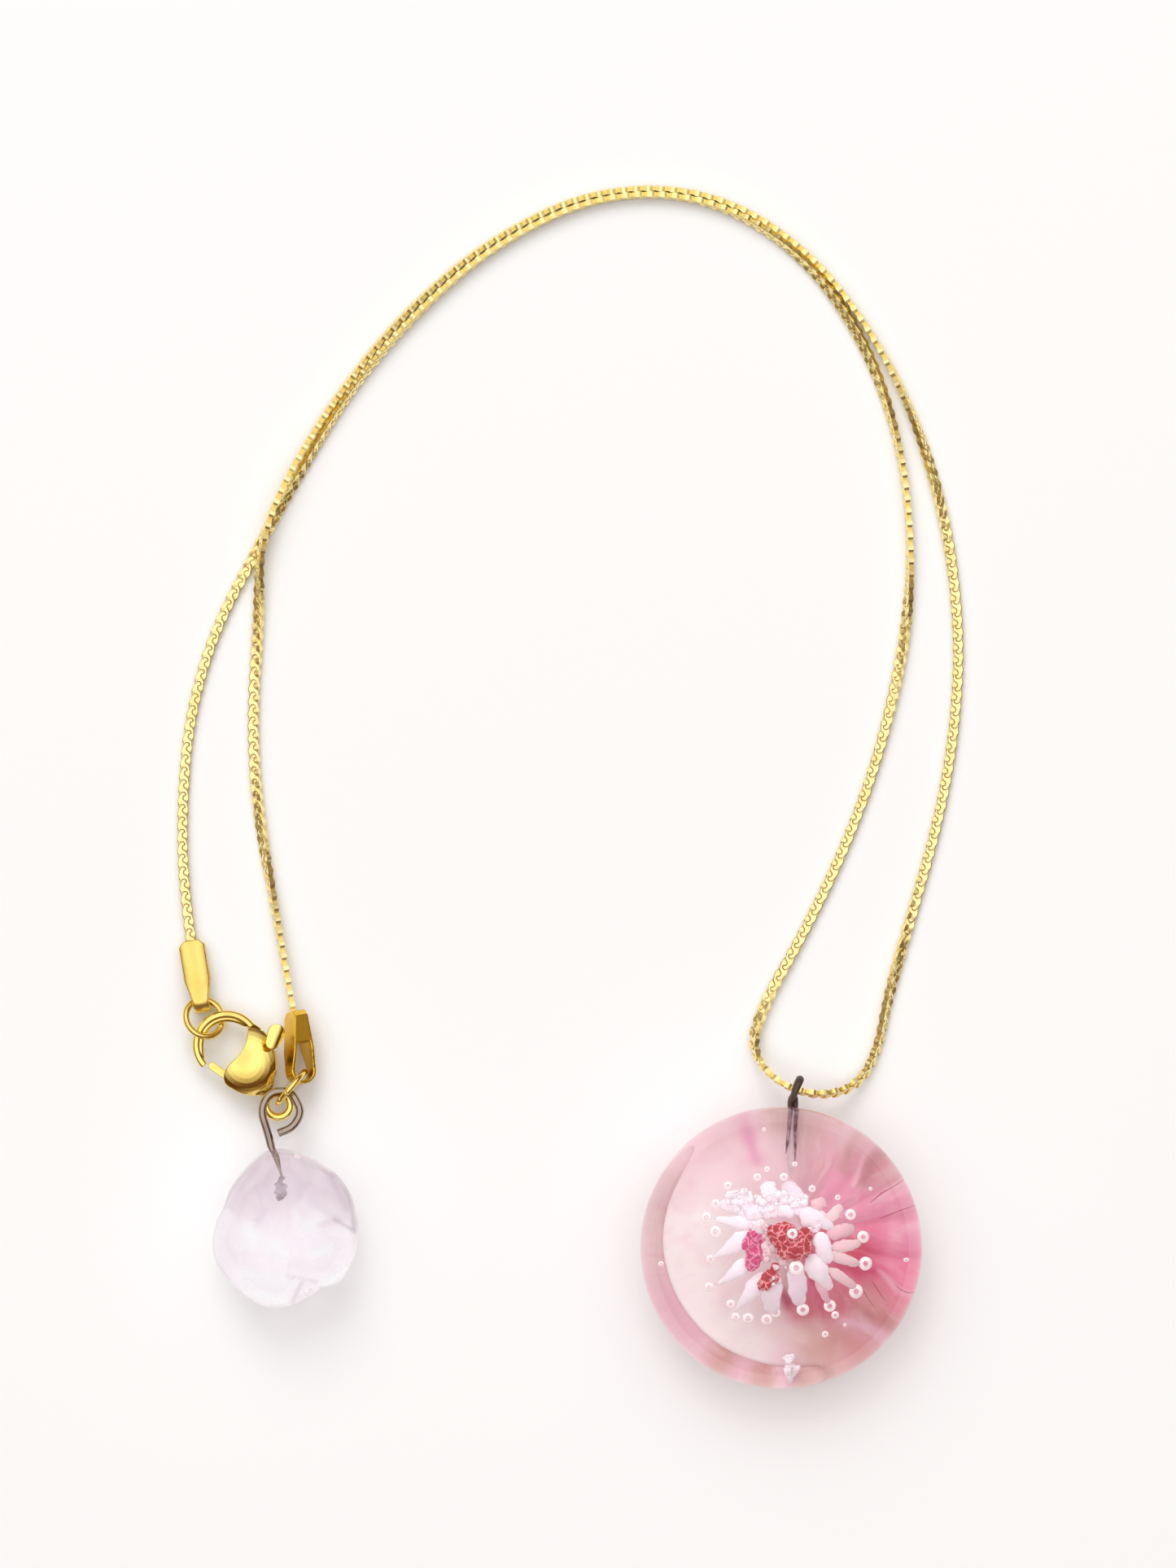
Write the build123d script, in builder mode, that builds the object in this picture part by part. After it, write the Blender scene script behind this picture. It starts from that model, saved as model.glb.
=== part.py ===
from build123d import *
import os
from math import cos, pi, radians, sin, sqrt, tan

# A pendant necklace lying closed on a table: a domed glass pendant with a glass flower inside,
# a fine chain of flat S links doubled over in an arch, two folded end caps, two jump rings, a
# lobster clasp with a sprung lever, and a small lobed glass drop on a bent wire hook.
# Millimetres, +Z up. The origin is the middle of the pendant's flat back, on the table, and +Y
# runs from the pendant up the arch of the chain.

# Driving sizes of the pendant: a dome of clear glass on a flat back
pendant_diameter = 26.0
pendant_height = 12.5
back_diameter = 19.6
girdle_height = 5.2
shoulder_radius = 4.5
glass_gap = 0.06

# Driving sizes of the flower inside it: a thin rose veil near the back, a shallow fan of pink
# petals on that, a spray of white petals from a hub, a red core and two small buds over them.
# The margins are the glass left between the outside and the veil's and the fan's rims
veil_margin = 0.55
veil_height = 0.6
veil_thickness = 0.4
fan_diameter = 21.6
fan_margin = 0.45
fan_shift_x = 1.6
fan_shift_y = 1.8
fan_clearance = 0.15
fan_rim_thickness = 0.6
fan_eye_thickness = 1.4
fan_eye_diameter = 4.0
crease_width = 0.25
crease_depth = 0.3
crease_count = 17
flower_x = 0.7
flower_y = 0.6
hub_diameter = 3.0
hub_height = 4.9
petal_reach = 6.9
petal_root_radius = 0.45
petal_belly_radius = 0.85
petal_tip_radius = 0.15
petal_belly_share = 0.6
core_diameter = 3.2
core_height = 8.3
bud_height = 6.5

# Air bubbles blown at the petal tips, and the glass left between a tip and its bubble
bubble_diameter = 1.0
bubble_wall = 0.2

# The bail: a loop of dark wire on two legs that run into the glass
bail_wire = 0.75
bail_loop_radius = 0.95
bail_height = 3.0
bail_x = 1.45
bail_turn = 21.5
bail_reach = 1.5
bail_leg_spacing = 0.8
left_leg_depth = 3.4
right_leg_depth = 4.0
bail_leg_lead = 0.35
bail_corner_share = 0.6

# The chain, and the clearance that its ends have in the caps
chain_diameter = 0.8
chain_gap = 0.08

# The folded end caps: a strip of sheet that closes on the chain, runs out as a broad back,
# turns under in a round fold and comes back as a tongue
cap_length = 6.8
cap_width = 2.4
cap_neck_width = 1.5
cap_neck_length = 2.6
cap_sheet = 0.3
cap_mouth = 1.25
cap_fold = 2.5
cap_crimp = 3.0
cap_bore_depth = 1.2
cap_corner = 0.5

# The jump rings
ring_wire = 0.6
left_ring_radius = 1.8
right_ring_radius = 1.88
ring_cut = 0.08
left_ring_cut_aim = 110.0
right_ring_cut_aim = 75.0

# The lobster clasp, in its own plane: the origin is the middle of its hook's ring, x runs to
# the eye and y to the side of the thumb tab
clasp_thickness = 3.4
clasp_body_length = 5.8
hook_radius = 2.83
hook_stock = 0.75
hook_start = 80.0
hook_end = 272.0
eye_radius = 1.13
eye_distance = 7.33
tail_width = 1.1
tail_sink = 0.58
puff_radius = 5.4
puff_x = 2.49
puff_y = 0.29
slot_start = 0.2
slot_end = 4.4
window_start = 0.95
window_foot = 1.95
pivot_x = 3.0
pivot_y = 0.9
pin_radius = 0.35
pin_gap = 0.05
lever_thickness = 0.8
lever_gap = 0.1
lever_hub_radius = 0.85
elbow_x = 2.3
elbow_y = -1.85
gate_width = 0.72
gate_gap = 0.16
tab_arm_radius = 0.68
tab_stem_radius = 0.28
tab_stem_step = 0.04
tab_stem_x = 2.1
tab_stem_y = 3.76
tab_rise = 1.8
tab_thickness = 0.4
tab_root_x = 2.58
tab_root_y = 3.46
tab_root_radius = 0.65
tab_tip_radius = 0.8
tab_aim = 118.7
tab_length = 0.98

# The glass drop and its hook
drop_width = 13.4
hook_wire = 0.75
hook_slope = 12.5
hook_height = 2.62

# Places on the table, from the middle of the pendant's back, and the way each piece points, in
# degrees from +X
left_fold_place = (-53.63, 22.71)
left_cap_aim = -80.1
left_ring_place = (-53.3, 21.05)
left_ring_tilt = 30.7
left_ring_uphill = 220.2
clasp_place = (-51.2, 18.55)
clasp_aim = -49.5
right_fold_place = (-44.35, 16.15)
right_fold_height = 2.12
right_cap_aim = -79.0
right_cap_pitch = 4.5
right_cap_lean = 28.0
right_ring_place = (-45.23, 14.64)
right_ring_aim = -129.9
hook_place = (-46.3, 14.05)
drop_place = (-45.75, 1.7)

# The chain's route between its two caps, by hand: from the left cap up the outside of the arch
# and down to the bail, and back beside itself, over the first strand, and down to the right cap
chain_route = [
    (-55.3, 33.1, 0.55),
    (-55.4, 41.1, 0.4),
    (-54.7, 49.0, 0.4),
    (-52.5, 56.7, 0.4),
    (-48.9, 63.7, 0.4),
    (-44.8, 70.7, 0.4),
    (-39.9, 78.9, 0.4),
    (-33.8, 86.3, 0.4),
    (-26.3, 92.8, 0.4),
    (-16.6, 97.5, 0.4),
    (-6.8, 97.3, 0.4),
    (1.9, 92.2, 0.4),
    (7.8, 84.1, 0.4),
    (11.2, 74.3, 0.4),
    (12.3, 64.1, 0.4),
    (11.5, 55.0, 0.4),
    (9.2, 45.2, 0.4),
    (5.7, 35.9, 0.4),
    (1.5, 27.5, 0.4),
    (-1.4, 22.4, 0.4),
    (-2.8, 18.3, 1.0),
    (-0.6, 15.2, 2.95),
    (3.4, 13.8, 2.95),
    (7.1, 14.6, 1.0),
    (9.1, 18.0, 0.4),
    (10.1, 23.3, 0.4),
    (12.5, 31.5, 0.4),
    (14.8, 39.6, 0.4),
    (16.2, 47.5, 0.4),
    (16.7, 55.8, 0.4),
    (15.8, 65.0, 0.4),
    (13.5, 74.2, 0.4),
    (9.5, 83.3, 0.4),
    (2.9, 92.6, 0.4),
    (-6.2, 98.2, 0.4),
    (-17.1, 98.4, 0.4),
    (-27.0, 93.6, 0.4),
    (-34.8, 87.0, 0.4),
    (-40.9, 79.5, 0.4),
    (-45.9, 71.5, 1.45),
    (-48.2, 65.0, 1.45),
    (-48.3, 58.1, 0.4),
    (-48.9, 49.0, 0.4),
    (-48.5, 40.7, 0.4),
    (-46.7, 30.4, 0.62),
]

# The white petals, by hand: the way each points, its share of the petals' reach, and how far
# its tip drops below the hub as a share of the hub's height
petals = [
    (163, 1.00, 0.05),
    (192, 0.92, 0.16),
    (211, 1.04, 0.20),
    (233, 1.00, 0.26),
    (253, 0.88, 0.16),
    (282, 0.78, 0.05),
    (310, 0.68, -0.10),
    (323, 0.98, 0.24),
    (344, 0.94, 0.12),
    (3, 0.87, 0.22),
    (23, 0.80, 0.05),
    (42, 0.76, 0.18),
    (67, 0.68, 0.02),
    (95, 0.76, 0.14),
    (117, 0.84, 0.02),
    (138, 0.98, 0.16),
]

# The two buds, by hand: the way each lies from the core, its distance as a share of the petals'
# reach, and its diameter as a share of the core's
buds = {
    "magenta_bud": (193, 0.42, 0.56),
    "red_bud": (240, 0.47, 0.47),
}

# The clasp body's outline, by hand, round from the crook of its hook: where each stretch ends, and
# a place on its way where it is an arc, as shares of the body's length
body_start = (0.026, 0.422)
body_outline = [
    ((0.259, -0.086), (0.207, 0.190)),
    ((0.336, -0.345), (0.279, -0.224)),
    ((0.569, -0.388), (0.440, -0.410)),
    ((0.950, -0.129), (0.793, -0.284)),
    ((1.000, -0.095), None),
    ((1.000, 0.095), None),
    ((0.970, 0.155), None),
    ((0.448, 0.552), (0.776, 0.388)),
    ((0.026, 0.552), (0.241, 0.595)),
    ((0.026, 0.422), None),
]

# The lobes of the drop, by hand: the place of each and its radius, as shares of the drop's width
drop_lobes = [
    (-0.040, 0.220, 0.325),
    (0.185, 0.152, 0.308),
    (0.150, -0.118, 0.335),
    (-0.095, -0.214, 0.335),
    (-0.170, -0.045, 0.325),
    (-0.095, 0.152, 0.308),
]

# The drop's hook, by hand, on its sloping plane: x across the drop, y up from the hook's top
hook_route = [
    (0.00, -9.8),
    (-0.68, -4.8),
    (-1.74, -1.5),
    (-0.85, 0.25),
    (1.10, 0.25),
    (2.10, -1.7),
    (1.28, -3.15),
    (-0.08, -3.7),
]

up = Vector(0, 0, 1)
os.makedirs("parts", exist_ok=True)


def arc_radii(points):
    """The radius of the arc at each inner point: as large as its two runs allow."""
    radii = []
    for before, corner, after in zip(points, points[1:], points[2:]):
        run_in = Vector(*corner) - Vector(*before)
        run_out = Vector(*after) - Vector(*corner)
        half_turn = radians(run_in.get_angle(run_out)) / 2
        radii.append(0.45 * min(run_in.length, run_out.length) / tan(half_turn))
    return radii


def heading(aim):
    """The level direction at aim degrees from +X."""
    return Vector(cos(radians(aim)), sin(radians(aim)), 0)


def on_table(place, height, aim):
    """A level plane at a place, whose x points along aim."""
    return Plane(origin=(place[0], place[1], height), x_dir=heading(aim), z_dir=up)


def arc_middle(centre, start, end):
    """The middle of the shorter arc from start to end about a centre."""
    half_way = (start - centre).normalized() + (end - centre).normalized()
    return centre + half_way.normalized() * (start - centre).length


def finish(part, name):
    """Labels a finished piece and writes it."""
    part.label = name
    export_step(part, f"parts/{name}.step")


# Pendant glass: its section runs out along the flat back, round the foot to the girdle, over the
# shoulder and up the dome
girdle_radius = pendant_diameter / 2
back_radius = back_diameter / 2
undercut = girdle_radius - back_radius
foot_radius = (undercut**2 + girdle_height**2) / (2 * undercut)
foot_centre = Vector(girdle_radius - foot_radius, girdle_height)
foot_start = Vector(back_radius, 0)
girdle = Vector(girdle_radius, girdle_height)
shoulder_centre = Vector(girdle_radius - shoulder_radius, girdle_height)
crown = pendant_height - girdle_height
dome_radius = (shoulder_centre.X**2 + crown**2 - shoulder_radius**2) / (
    2 * (crown - shoulder_radius)
)
dome_centre = Vector(0, pendant_height - dome_radius)
shoulder_end = dome_centre + (shoulder_centre - dome_centre).normalized() * dome_radius
top = Vector(0, pendant_height)


def foot_reach(height):
    """How far the glass reaches from its axis at a height below the girdle."""
    return foot_centre.X + sqrt(foot_radius**2 - (girdle_height - height) ** 2)


# Flower: every piece of it is closed in glass, so each has a shape function that the glass uses
# too, grown by the gap between them
flower_axis = Vector(flower_x, flower_y, 0)
fan_axis = Vector(fan_shift_x, fan_shift_y, 0)
fan_height = veil_height + veil_thickness + fan_clearance
veil_radius = foot_reach(veil_height) - veil_margin
fan_reach = foot_reach(fan_height) - fan_margin


def petal_line(turn, reach, fall):
    """Where a white petal starts, the direction it points and its length."""
    root = flower_axis + up * hub_height
    run = heading(turn) * petal_reach * reach - up * fall * hub_height
    return root, run.normalized(), run.length


def petal_spray(grow):
    """The hub and its petals, each a fat pointed finger turned about its own length."""
    with BuildPart() as spray:
        with Locations(flower_axis + up * hub_height):
            Sphere(hub_diameter / 2 + grow)
        for petal in petals:
            root, along, length = petal_line(*petal)
            end = length + grow
            with BuildSketch(Plane(origin=root, x_dir=along, z_dir=along.cross(up))):
                with BuildLine():
                    Line((0, 0), (0, petal_root_radius + grow))
                    ThreePointArc(
                        (0, petal_root_radius + grow),
                        (petal_belly_share * end, petal_belly_radius + grow),
                        (end, petal_tip_radius + grow),
                    )
                    Line((end, petal_tip_radius + grow), (end, 0))
                    Line((end, 0), (0, 0))
                make_face()
            revolve(axis=Axis(root, along))
    return spray.part


def petal_fan(grow, creased):
    """The shallow pink fan, off the pendant's axis and cut round where the glass turns in."""
    rim = fan_diameter / 2 + grow
    eye = fan_eye_diameter / 2
    low = fan_height - grow
    rim_top = fan_height + fan_rim_thickness + grow
    eye_top = fan_height + fan_eye_thickness + grow
    with BuildPart() as fan:
        with BuildSketch(Plane(origin=fan_axis, x_dir=(1, 0, 0), z_dir=(0, -1, 0))):
            Polygon((0, low), (rim, low), (rim, rim_top), (eye, eye_top), (0, eye_top), align=None)
        revolve(axis=Axis(fan_axis, up))
        with BuildSketch(Plane.XY):
            Circle(fan_reach + grow)
        extrude(amount=pendant_height, mode=Mode.INTERSECT)
        if creased:
            for crease in range(crease_count):
                out = heading(360 * crease / crease_count)
                with BuildSketch(Plane(origin=fan_axis, x_dir=out, z_dir=out.cross(up))):
                    Polygon(
                        (eye, eye_top - crease_depth / 2),
                        (1.1 * rim, rim_top - crease_depth),
                        (1.1 * rim, eye_top + crease_depth),
                        (eye, eye_top + crease_depth),
                        align=None,
                    )
                extrude(amount=crease_width / 2, both=True, mode=Mode.SUBTRACT)
    return fan.part


def veil_layer(grow):
    """The flat round veil about the pendant's axis."""
    with BuildPart() as layer:
        with BuildSketch(Plane.XY.offset(veil_height - grow)):
            Circle(veil_radius + grow)
        extrude(amount=veil_thickness + 2 * grow)
    return layer.part


def ball(place, diameter):
    """A round bead of glass."""
    with BuildPart(Plane(origin=place)) as bead:
        Sphere(diameter / 2)
    return bead.part


def bud_place(turn, distance):
    """Where a bud lies over the petals."""
    return flower_axis + heading(turn) * petal_reach * distance + up * bud_height


finish(petal_spray(0), "white_petals")
finish(petal_fan(0, True), "pink_petals")
finish(veil_layer(0), "rose_veil")
finish(ball(flower_axis + up * core_height, core_diameter), "flower_core")
for name, (turn, distance, share) in buds.items():
    finish(ball(bud_place(turn, distance), share * core_diameter), name)

# Bail: one wire, whose loop stands on edge, turned a little to the right, and whose two legs lie
# side by side in the glass, the left one a little shorter
loop_out = heading(90 - bail_turn)
loop_centre = Vector(bail_x, girdle_radius + bail_reach, bail_height)
legs_middle = loop_centre - loop_out * bail_loop_radius
legs_start = girdle_radius + bail_leg_lead
leg_ends = [
    (-bail_leg_spacing / 2, girdle_radius - left_leg_depth),
    (bail_leg_spacing / 2, girdle_radius - right_leg_depth),
]


def on_bail(out, rise):
    """A point in the upright plane of the bail's loop."""
    return loop_centre + loop_out * out + up * rise


(left_leg, right_leg) = [
    [
        Vector(legs_middle.X + side, inner_end, bail_height),
        Vector(legs_middle.X + side, legs_start, bail_height),
    ]
    for side, inner_end in leg_ends
]
bail_route = [
    *left_leg,
    on_bail(-bail_corner_share * bail_loop_radius, bail_loop_radius),
    on_bail(bail_loop_radius, bail_loop_radius),
    on_bail(bail_loop_radius, -bail_loop_radius),
    on_bail(-bail_corner_share * bail_loop_radius, -bail_loop_radius),
    *reversed(right_leg),
]
with BuildPart() as bail:
    with BuildLine() as bail_bend:
        FilletPolyline(*bail_route, radius=arc_radii(bail_route))
    with BuildSketch(Plane(origin=bail_bend.line @ 0, z_dir=bail_bend.line % 0)):
        Circle(bail_wire / 2)
    sweep()
finish(bail.part, "pendant_bail")


def leg_room(leg):
    """The room in the glass for one leg of the bail."""
    inner_end, outer_end = leg
    along = (inner_end - outer_end).normalized()
    with BuildPart() as room:
        with BuildSketch(Plane(origin=outer_end, z_dir=along)):
            Circle(bail_wire / 2 + glass_gap)
        extrude(amount=(inner_end - outer_end).length + glass_gap)
    return room.part


# Pendant glass: every piece closed in it has its room, and a bubble lies past each petal's tip
with BuildPart() as pendant_glass:
    with BuildSketch(Plane.XZ):
        with BuildLine():
            Line((0, 0), foot_start)
            ThreePointArc(foot_start, arc_middle(foot_centre, foot_start, girdle), girdle)
            ThreePointArc(
                girdle, arc_middle(shoulder_centre, girdle, shoulder_end), shoulder_end
            )
            ThreePointArc(shoulder_end, arc_middle(dome_centre, shoulder_end, top), top)
            Line(top, (0, 0))
        make_face()
    revolve(axis=Axis.Z)
    add(petal_spray(glass_gap), mode=Mode.SUBTRACT)
    add(petal_fan(glass_gap, False), mode=Mode.SUBTRACT)
    add(veil_layer(glass_gap), mode=Mode.SUBTRACT)
    add(
        ball(flower_axis + up * core_height, core_diameter + 2 * glass_gap),
        mode=Mode.SUBTRACT,
    )
    for turn, distance, share in buds.values():
        room = ball(bud_place(turn, distance), share * core_diameter + 2 * glass_gap)
        add(room, mode=Mode.SUBTRACT)
    for leg in (left_leg, right_leg):
        add(leg_room(leg), mode=Mode.SUBTRACT)
    for petal in petals:
        root, along, length = petal_line(*petal)
        bubble = root + along * (length + glass_gap + bubble_wall + bubble_diameter / 2)
        with Locations(bubble):
            Sphere(bubble_diameter / 2, mode=Mode.SUBTRACT)
finish(pendant_glass.part, "pendant_glass")
print("dome radius", round(dome_radius, 2), "foot radius", round(foot_radius, 2))


def cap_seat(fold_place, fold_height, aim, pitch, roll):
    """An end cap's own plane, hung by the middle of its fold: x from the mouth, z to the back."""
    along = heading(aim) * cos(radians(pitch)) + up * sin(radians(pitch))
    across = up.cross(along).normalized()
    back = along.cross(across) * cos(radians(roll)) + across * sin(radians(roll))
    fold_middle = Vector(fold_place[0], fold_place[1], fold_height)
    bend = cap_fold / 2
    return Plane(
        origin=fold_middle - along * (cap_length - bend) - back * bend, x_dir=along, z_dir=back
    )


def end_cap(seat):
    """One folded end cap on its own plane."""
    bend = cap_fold / 2
    bend_x = cap_length - bend
    slope = (cap_fold - cap_mouth) / bend_x
    side = Plane(origin=seat.origin, x_dir=seat.x_dir, z_dir=-seat.y_dir)
    with BuildPart() as cap:
        with BuildSketch(side):
            with BuildLine():
                Line((0, 0), (bend_x, 0))
                ThreePointArc((bend_x, 0), (cap_length, bend), (bend_x, cap_fold))
                Line((bend_x, cap_fold), (0, cap_mouth))
                Line((0, cap_mouth), (0, 0))
            make_face()
            with BuildLine():
                Line((cap_crimp, cap_sheet), (bend_x, cap_sheet))
                ThreePointArc(
                    (bend_x, cap_sheet),
                    (cap_length - cap_sheet, bend),
                    (bend_x, cap_fold - cap_sheet),
                )
                Line(
                    (bend_x, cap_fold - cap_sheet),
                    (cap_crimp, cap_mouth + slope * cap_crimp - cap_sheet),
                )
                Line(
                    (cap_crimp, cap_mouth + slope * cap_crimp - cap_sheet),
                    (cap_crimp, cap_sheet),
                )
            make_face(mode=Mode.SUBTRACT)
        extrude(amount=cap_width / 2, both=True)
        with BuildSketch(seat):
            Polygon(
                (0, -cap_width / 2 + cap_corner),
                (cap_corner, -cap_width / 2),
                (cap_length - cap_neck_length - cap_corner, -cap_width / 2),
                (cap_length - bend, -cap_neck_width / 2),
                (cap_length, -cap_neck_width / 2),
                (cap_length, cap_neck_width / 2),
                (cap_length - bend, cap_neck_width / 2),
                (cap_length - cap_neck_length - cap_corner, cap_width / 2),
                (cap_corner, cap_width / 2),
                (0, cap_width / 2 - cap_corner),
                align=None,
            )
        extrude(amount=cap_fold, mode=Mode.INTERSECT)
        mouth = seat.from_local_coords(Vector(0, 0, cap_mouth / 2))
        with BuildSketch(Plane(origin=mouth, z_dir=seat.x_dir)):
            Circle(chain_diameter / 2 + chain_gap)
        extrude(amount=cap_bore_depth, mode=Mode.SUBTRACT)
    return cap.part


left_seat = cap_seat(left_fold_place, cap_fold / 2, left_cap_aim, 0, 0)
right_seat = cap_seat(
    right_fold_place, right_fold_height, right_cap_aim, right_cap_pitch, right_cap_lean - 90
)
finish(end_cap(left_seat), "end_cap_left")
finish(end_cap(right_seat), "end_cap_right")

# Chain: one round tube of the whole doubled strand, whose ends sit in the caps' bores
chain_end = Vector(cap_bore_depth - chain_gap, 0, cap_mouth / 2)
whole_route = [
    left_seat.from_local_coords(chain_end),
    *chain_route,
    right_seat.from_local_coords(chain_end),
]
route_radii = arc_radii(whole_route)
with BuildPart() as chain:
    with BuildLine() as route:
        FilletPolyline(*whole_route, radius=route_radii)
    with BuildSketch(Plane(origin=route.line @ 0, z_dir=route.line % 0)):
        Circle(chain_diameter / 2)
    sweep()
finish(chain.part, "chain")
chain_length = sum(edge.length for edge in route.line.edges())
chain_section = pi * chain_diameter**2 / 4
print("chain length", round(chain_length, 1))
print("chain radii", [round(radius, 1) for radius in route_radii])
print("chain volume", round(chain.part.volume, 2))
print("section times length", round(chain_section * chain_length, 2))


def jump_ring(plane, radius, cut_turn):
    """An open jump ring: round wire whose two ends nearly meet."""
    cut_place = plane.from_local_coords(heading(cut_turn) * radius)
    cut_out = (cut_place - plane.origin).normalized()
    with BuildPart() as ring:
        with Locations(plane):
            Torus(radius, ring_wire / 2)
        with BuildSketch(Plane(origin=cut_place, x_dir=cut_out, z_dir=plane.z_dir.cross(cut_out))):
            Rectangle(2 * ring_wire, 2 * ring_wire)
        extrude(amount=ring_cut / 2, both=True, mode=Mode.SUBTRACT)
    return ring.part


# Jump rings: the left one lies on a slope, under the clasp's hook on one side and over it on the
# other, and the right one stands on edge through the cap's fold, the clasp's eye and the hook
clasp_height = clasp_thickness / 2
uphill = heading(left_ring_uphill)
tilt = radians(left_ring_tilt)
left_ring_plane = Plane(
    origin=(left_ring_place[0], left_ring_place[1], clasp_height),
    x_dir=uphill * cos(tilt) + up * sin(tilt),
    z_dir=up * cos(tilt) - uphill * sin(tilt),
)
right_ring_plane = Plane(
    origin=(right_ring_place[0], right_ring_place[1], right_ring_radius + ring_wire / 2),
    x_dir=heading(right_ring_aim),
    z_dir=heading(right_ring_aim).cross(up),
)
finish(jump_ring(left_ring_plane, left_ring_radius, left_ring_cut_aim), "jump_ring_left")
finish(jump_ring(right_ring_plane, right_ring_radius, right_ring_cut_aim), "jump_ring_right")

# Clasp body: a puffed teardrop between two domes, the hook's ring rising from its tip, a tail
# with the eye, a slot for the lever with a window for its tab, and the lever's pin
clasp = on_table(clasp_place, clasp_height, clasp_aim)
slot_height = lever_thickness + 2 * lever_gap
hook_sweep = hook_end - hook_start
tail_root = clasp_body_length - tail_sink


def on_clasp(x, y, z=0.0):
    """A point given in the clasp's own plane."""
    return clasp.from_local_coords(Vector(x, y, z))


def body_point(shares):
    """A point of the body's outline from its shares of the body's length."""
    return shares[0] * clasp_body_length, shares[1] * clasp_body_length


with BuildPart() as clasp_body:
    with BuildSketch(clasp):
        with BuildLine():
            reached = body_start
            for stretch_end, on_the_way in body_outline:
                if on_the_way is None:
                    Line(body_point(reached), body_point(stretch_end))
                else:
                    ThreePointArc(
                        body_point(reached), body_point(on_the_way), body_point(stretch_end)
                    )
                reached = stretch_end
        make_face()
    extrude(amount=clasp_thickness, both=True)
    for side in (-1, 1):
        sink = side * (clasp_height - puff_radius)
        with Locations(on_clasp(puff_x, puff_y, sink)):
            Sphere(puff_radius, mode=Mode.INTERSECT)
    hook_foot = heading(hook_start) * hook_radius
    hook_out = heading(clasp_aim + hook_start)
    with BuildSketch(
        Plane(origin=on_clasp(hook_foot.X, hook_foot.Y), x_dir=hook_out, z_dir=up.cross(hook_out))
    ):
        Circle(hook_stock / 2)
    revolve(axis=Axis(clasp.origin, up), revolution_arc=hook_sweep)
    with BuildSketch(Plane(origin=on_clasp(tail_root, 0), z_dir=clasp.x_dir)):
        Circle(tail_width / 2)
    extrude(amount=eye_distance - eye_radius - tail_root)
    with Locations(on_clasp(eye_distance, 0)):
        Torus(eye_radius, hook_stock / 2)
    with BuildSketch(clasp):
        Polygon(
            (slot_start, -clasp_body_length),
            (slot_end, -clasp_body_length),
            (slot_end, clasp_body_length),
            (window_start, clasp_body_length),
            (window_start, window_foot),
            (slot_start, window_foot),
            align=None,
        )
    extrude(amount=slot_height / 2, both=True, mode=Mode.SUBTRACT)
    with BuildSketch(clasp):
        with Locations((pivot_x, pivot_y)):
            Circle(pin_radius)
    extrude(amount=slot_height, both=True)
finish(clasp_body.part, "clasp_body")
print("clasp body solids", len(clasp_body.part.solids()))

# Clasp lever: a hub on the pin, an arm to an elbow, the gate that closes on the hook's tip, and
# an arm out of the window to a stem that carries the flat thumb tab over the body's edge
hook_tip = heading(hook_end) * (hook_radius - hook_stock / 2)
hub = (pivot_x, pivot_y)
elbow = (elbow_x, elbow_y)
gate_end = (hook_tip.X + gate_gap + gate_width / 2, hook_tip.Y + gate_gap)
tab_stem = (tab_stem_x, tab_stem_y)
tab_root = (tab_root_x, tab_root_y)
tab_run = heading(tab_aim) * tab_length
tab_tip = (tab_root_x + tab_run.X, tab_root_y + tab_run.Y)
lever_plates = [
    (hub, lever_hub_radius, elbow, gate_width / 2),
    (elbow, gate_width / 2, gate_end, gate_width / 2),
    (hub, tab_arm_radius, tab_stem, tab_stem_radius),
]
tab_plane = clasp.offset(tab_rise)
with BuildPart() as clasp_lever:
    for start, start_radius, end, end_radius in lever_plates:
        with BuildSketch(clasp):
            with Locations(start):
                Circle(start_radius)
            with Locations(end):
                Circle(end_radius)
            make_hull()
        extrude(amount=lever_thickness / 2, both=True)
    with BuildSketch(clasp):
        with Locations(tab_stem):
            Circle(tab_stem_radius - tab_stem_step)
    extrude(amount=tab_rise)
    with BuildSketch(tab_plane):
        with Locations(tab_root):
            Circle(tab_root_radius)
        with Locations(tab_tip):
            Circle(tab_tip_radius)
        make_hull()
    extrude(amount=tab_thickness / 2, both=True)
    with BuildSketch(clasp):
        with Locations(hub):
            Circle(pin_radius + pin_gap)
    extrude(amount=lever_thickness, both=True, mode=Mode.SUBTRACT)
finish(clasp_lever.part, "clasp_lever")
print("lever volume", round(clasp_lever.part.volume, 2))
pivot = on_clasp(pivot_x, pivot_y)
print("lever pivot", pivot)

# Drop: a bent wire hook that slopes up into a puddle of glass with six soft lobes
slope = radians(hook_slope)
hook_plane = Plane(
    origin=(hook_place[0], hook_place[1], hook_height),
    x_dir=(1, 0, 0),
    z_dir=(0, sin(slope), cos(slope)),
)
hook_radii = arc_radii(hook_route)


def hook_shape(grow):
    """The hook's wire along its route, from its end inside the drop."""
    inner_end = (hook_route[0][0], hook_route[0][1] - grow)
    with BuildPart() as wire:
        with BuildLine(hook_plane) as bend:
            FilletPolyline(inner_end, *hook_route[1:], radius=hook_radii)
        with BuildSketch(Plane(origin=bend.line @ 0, z_dir=bend.line % 0)):
            Circle(hook_wire / 2 + grow)
        sweep()
    return wire.part


finish(hook_shape(0), "drop_hook")
with BuildPart() as drop_glass:
    for lobe_x, lobe_y, share in drop_lobes:
        lobe = Vector(
            drop_place[0] + lobe_x * drop_width,
            drop_place[1] + lobe_y * drop_width,
            share * drop_width,
        )
        with Locations(lobe):
            Sphere(share * drop_width, rotation=(90, 0, 0))
    add(hook_shape(glass_gap), mode=Mode.SUBTRACT)
finish(drop_glass.part, "drop_glass")
print("hook radii", [round(radius, 2) for radius in hook_radii])
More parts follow.
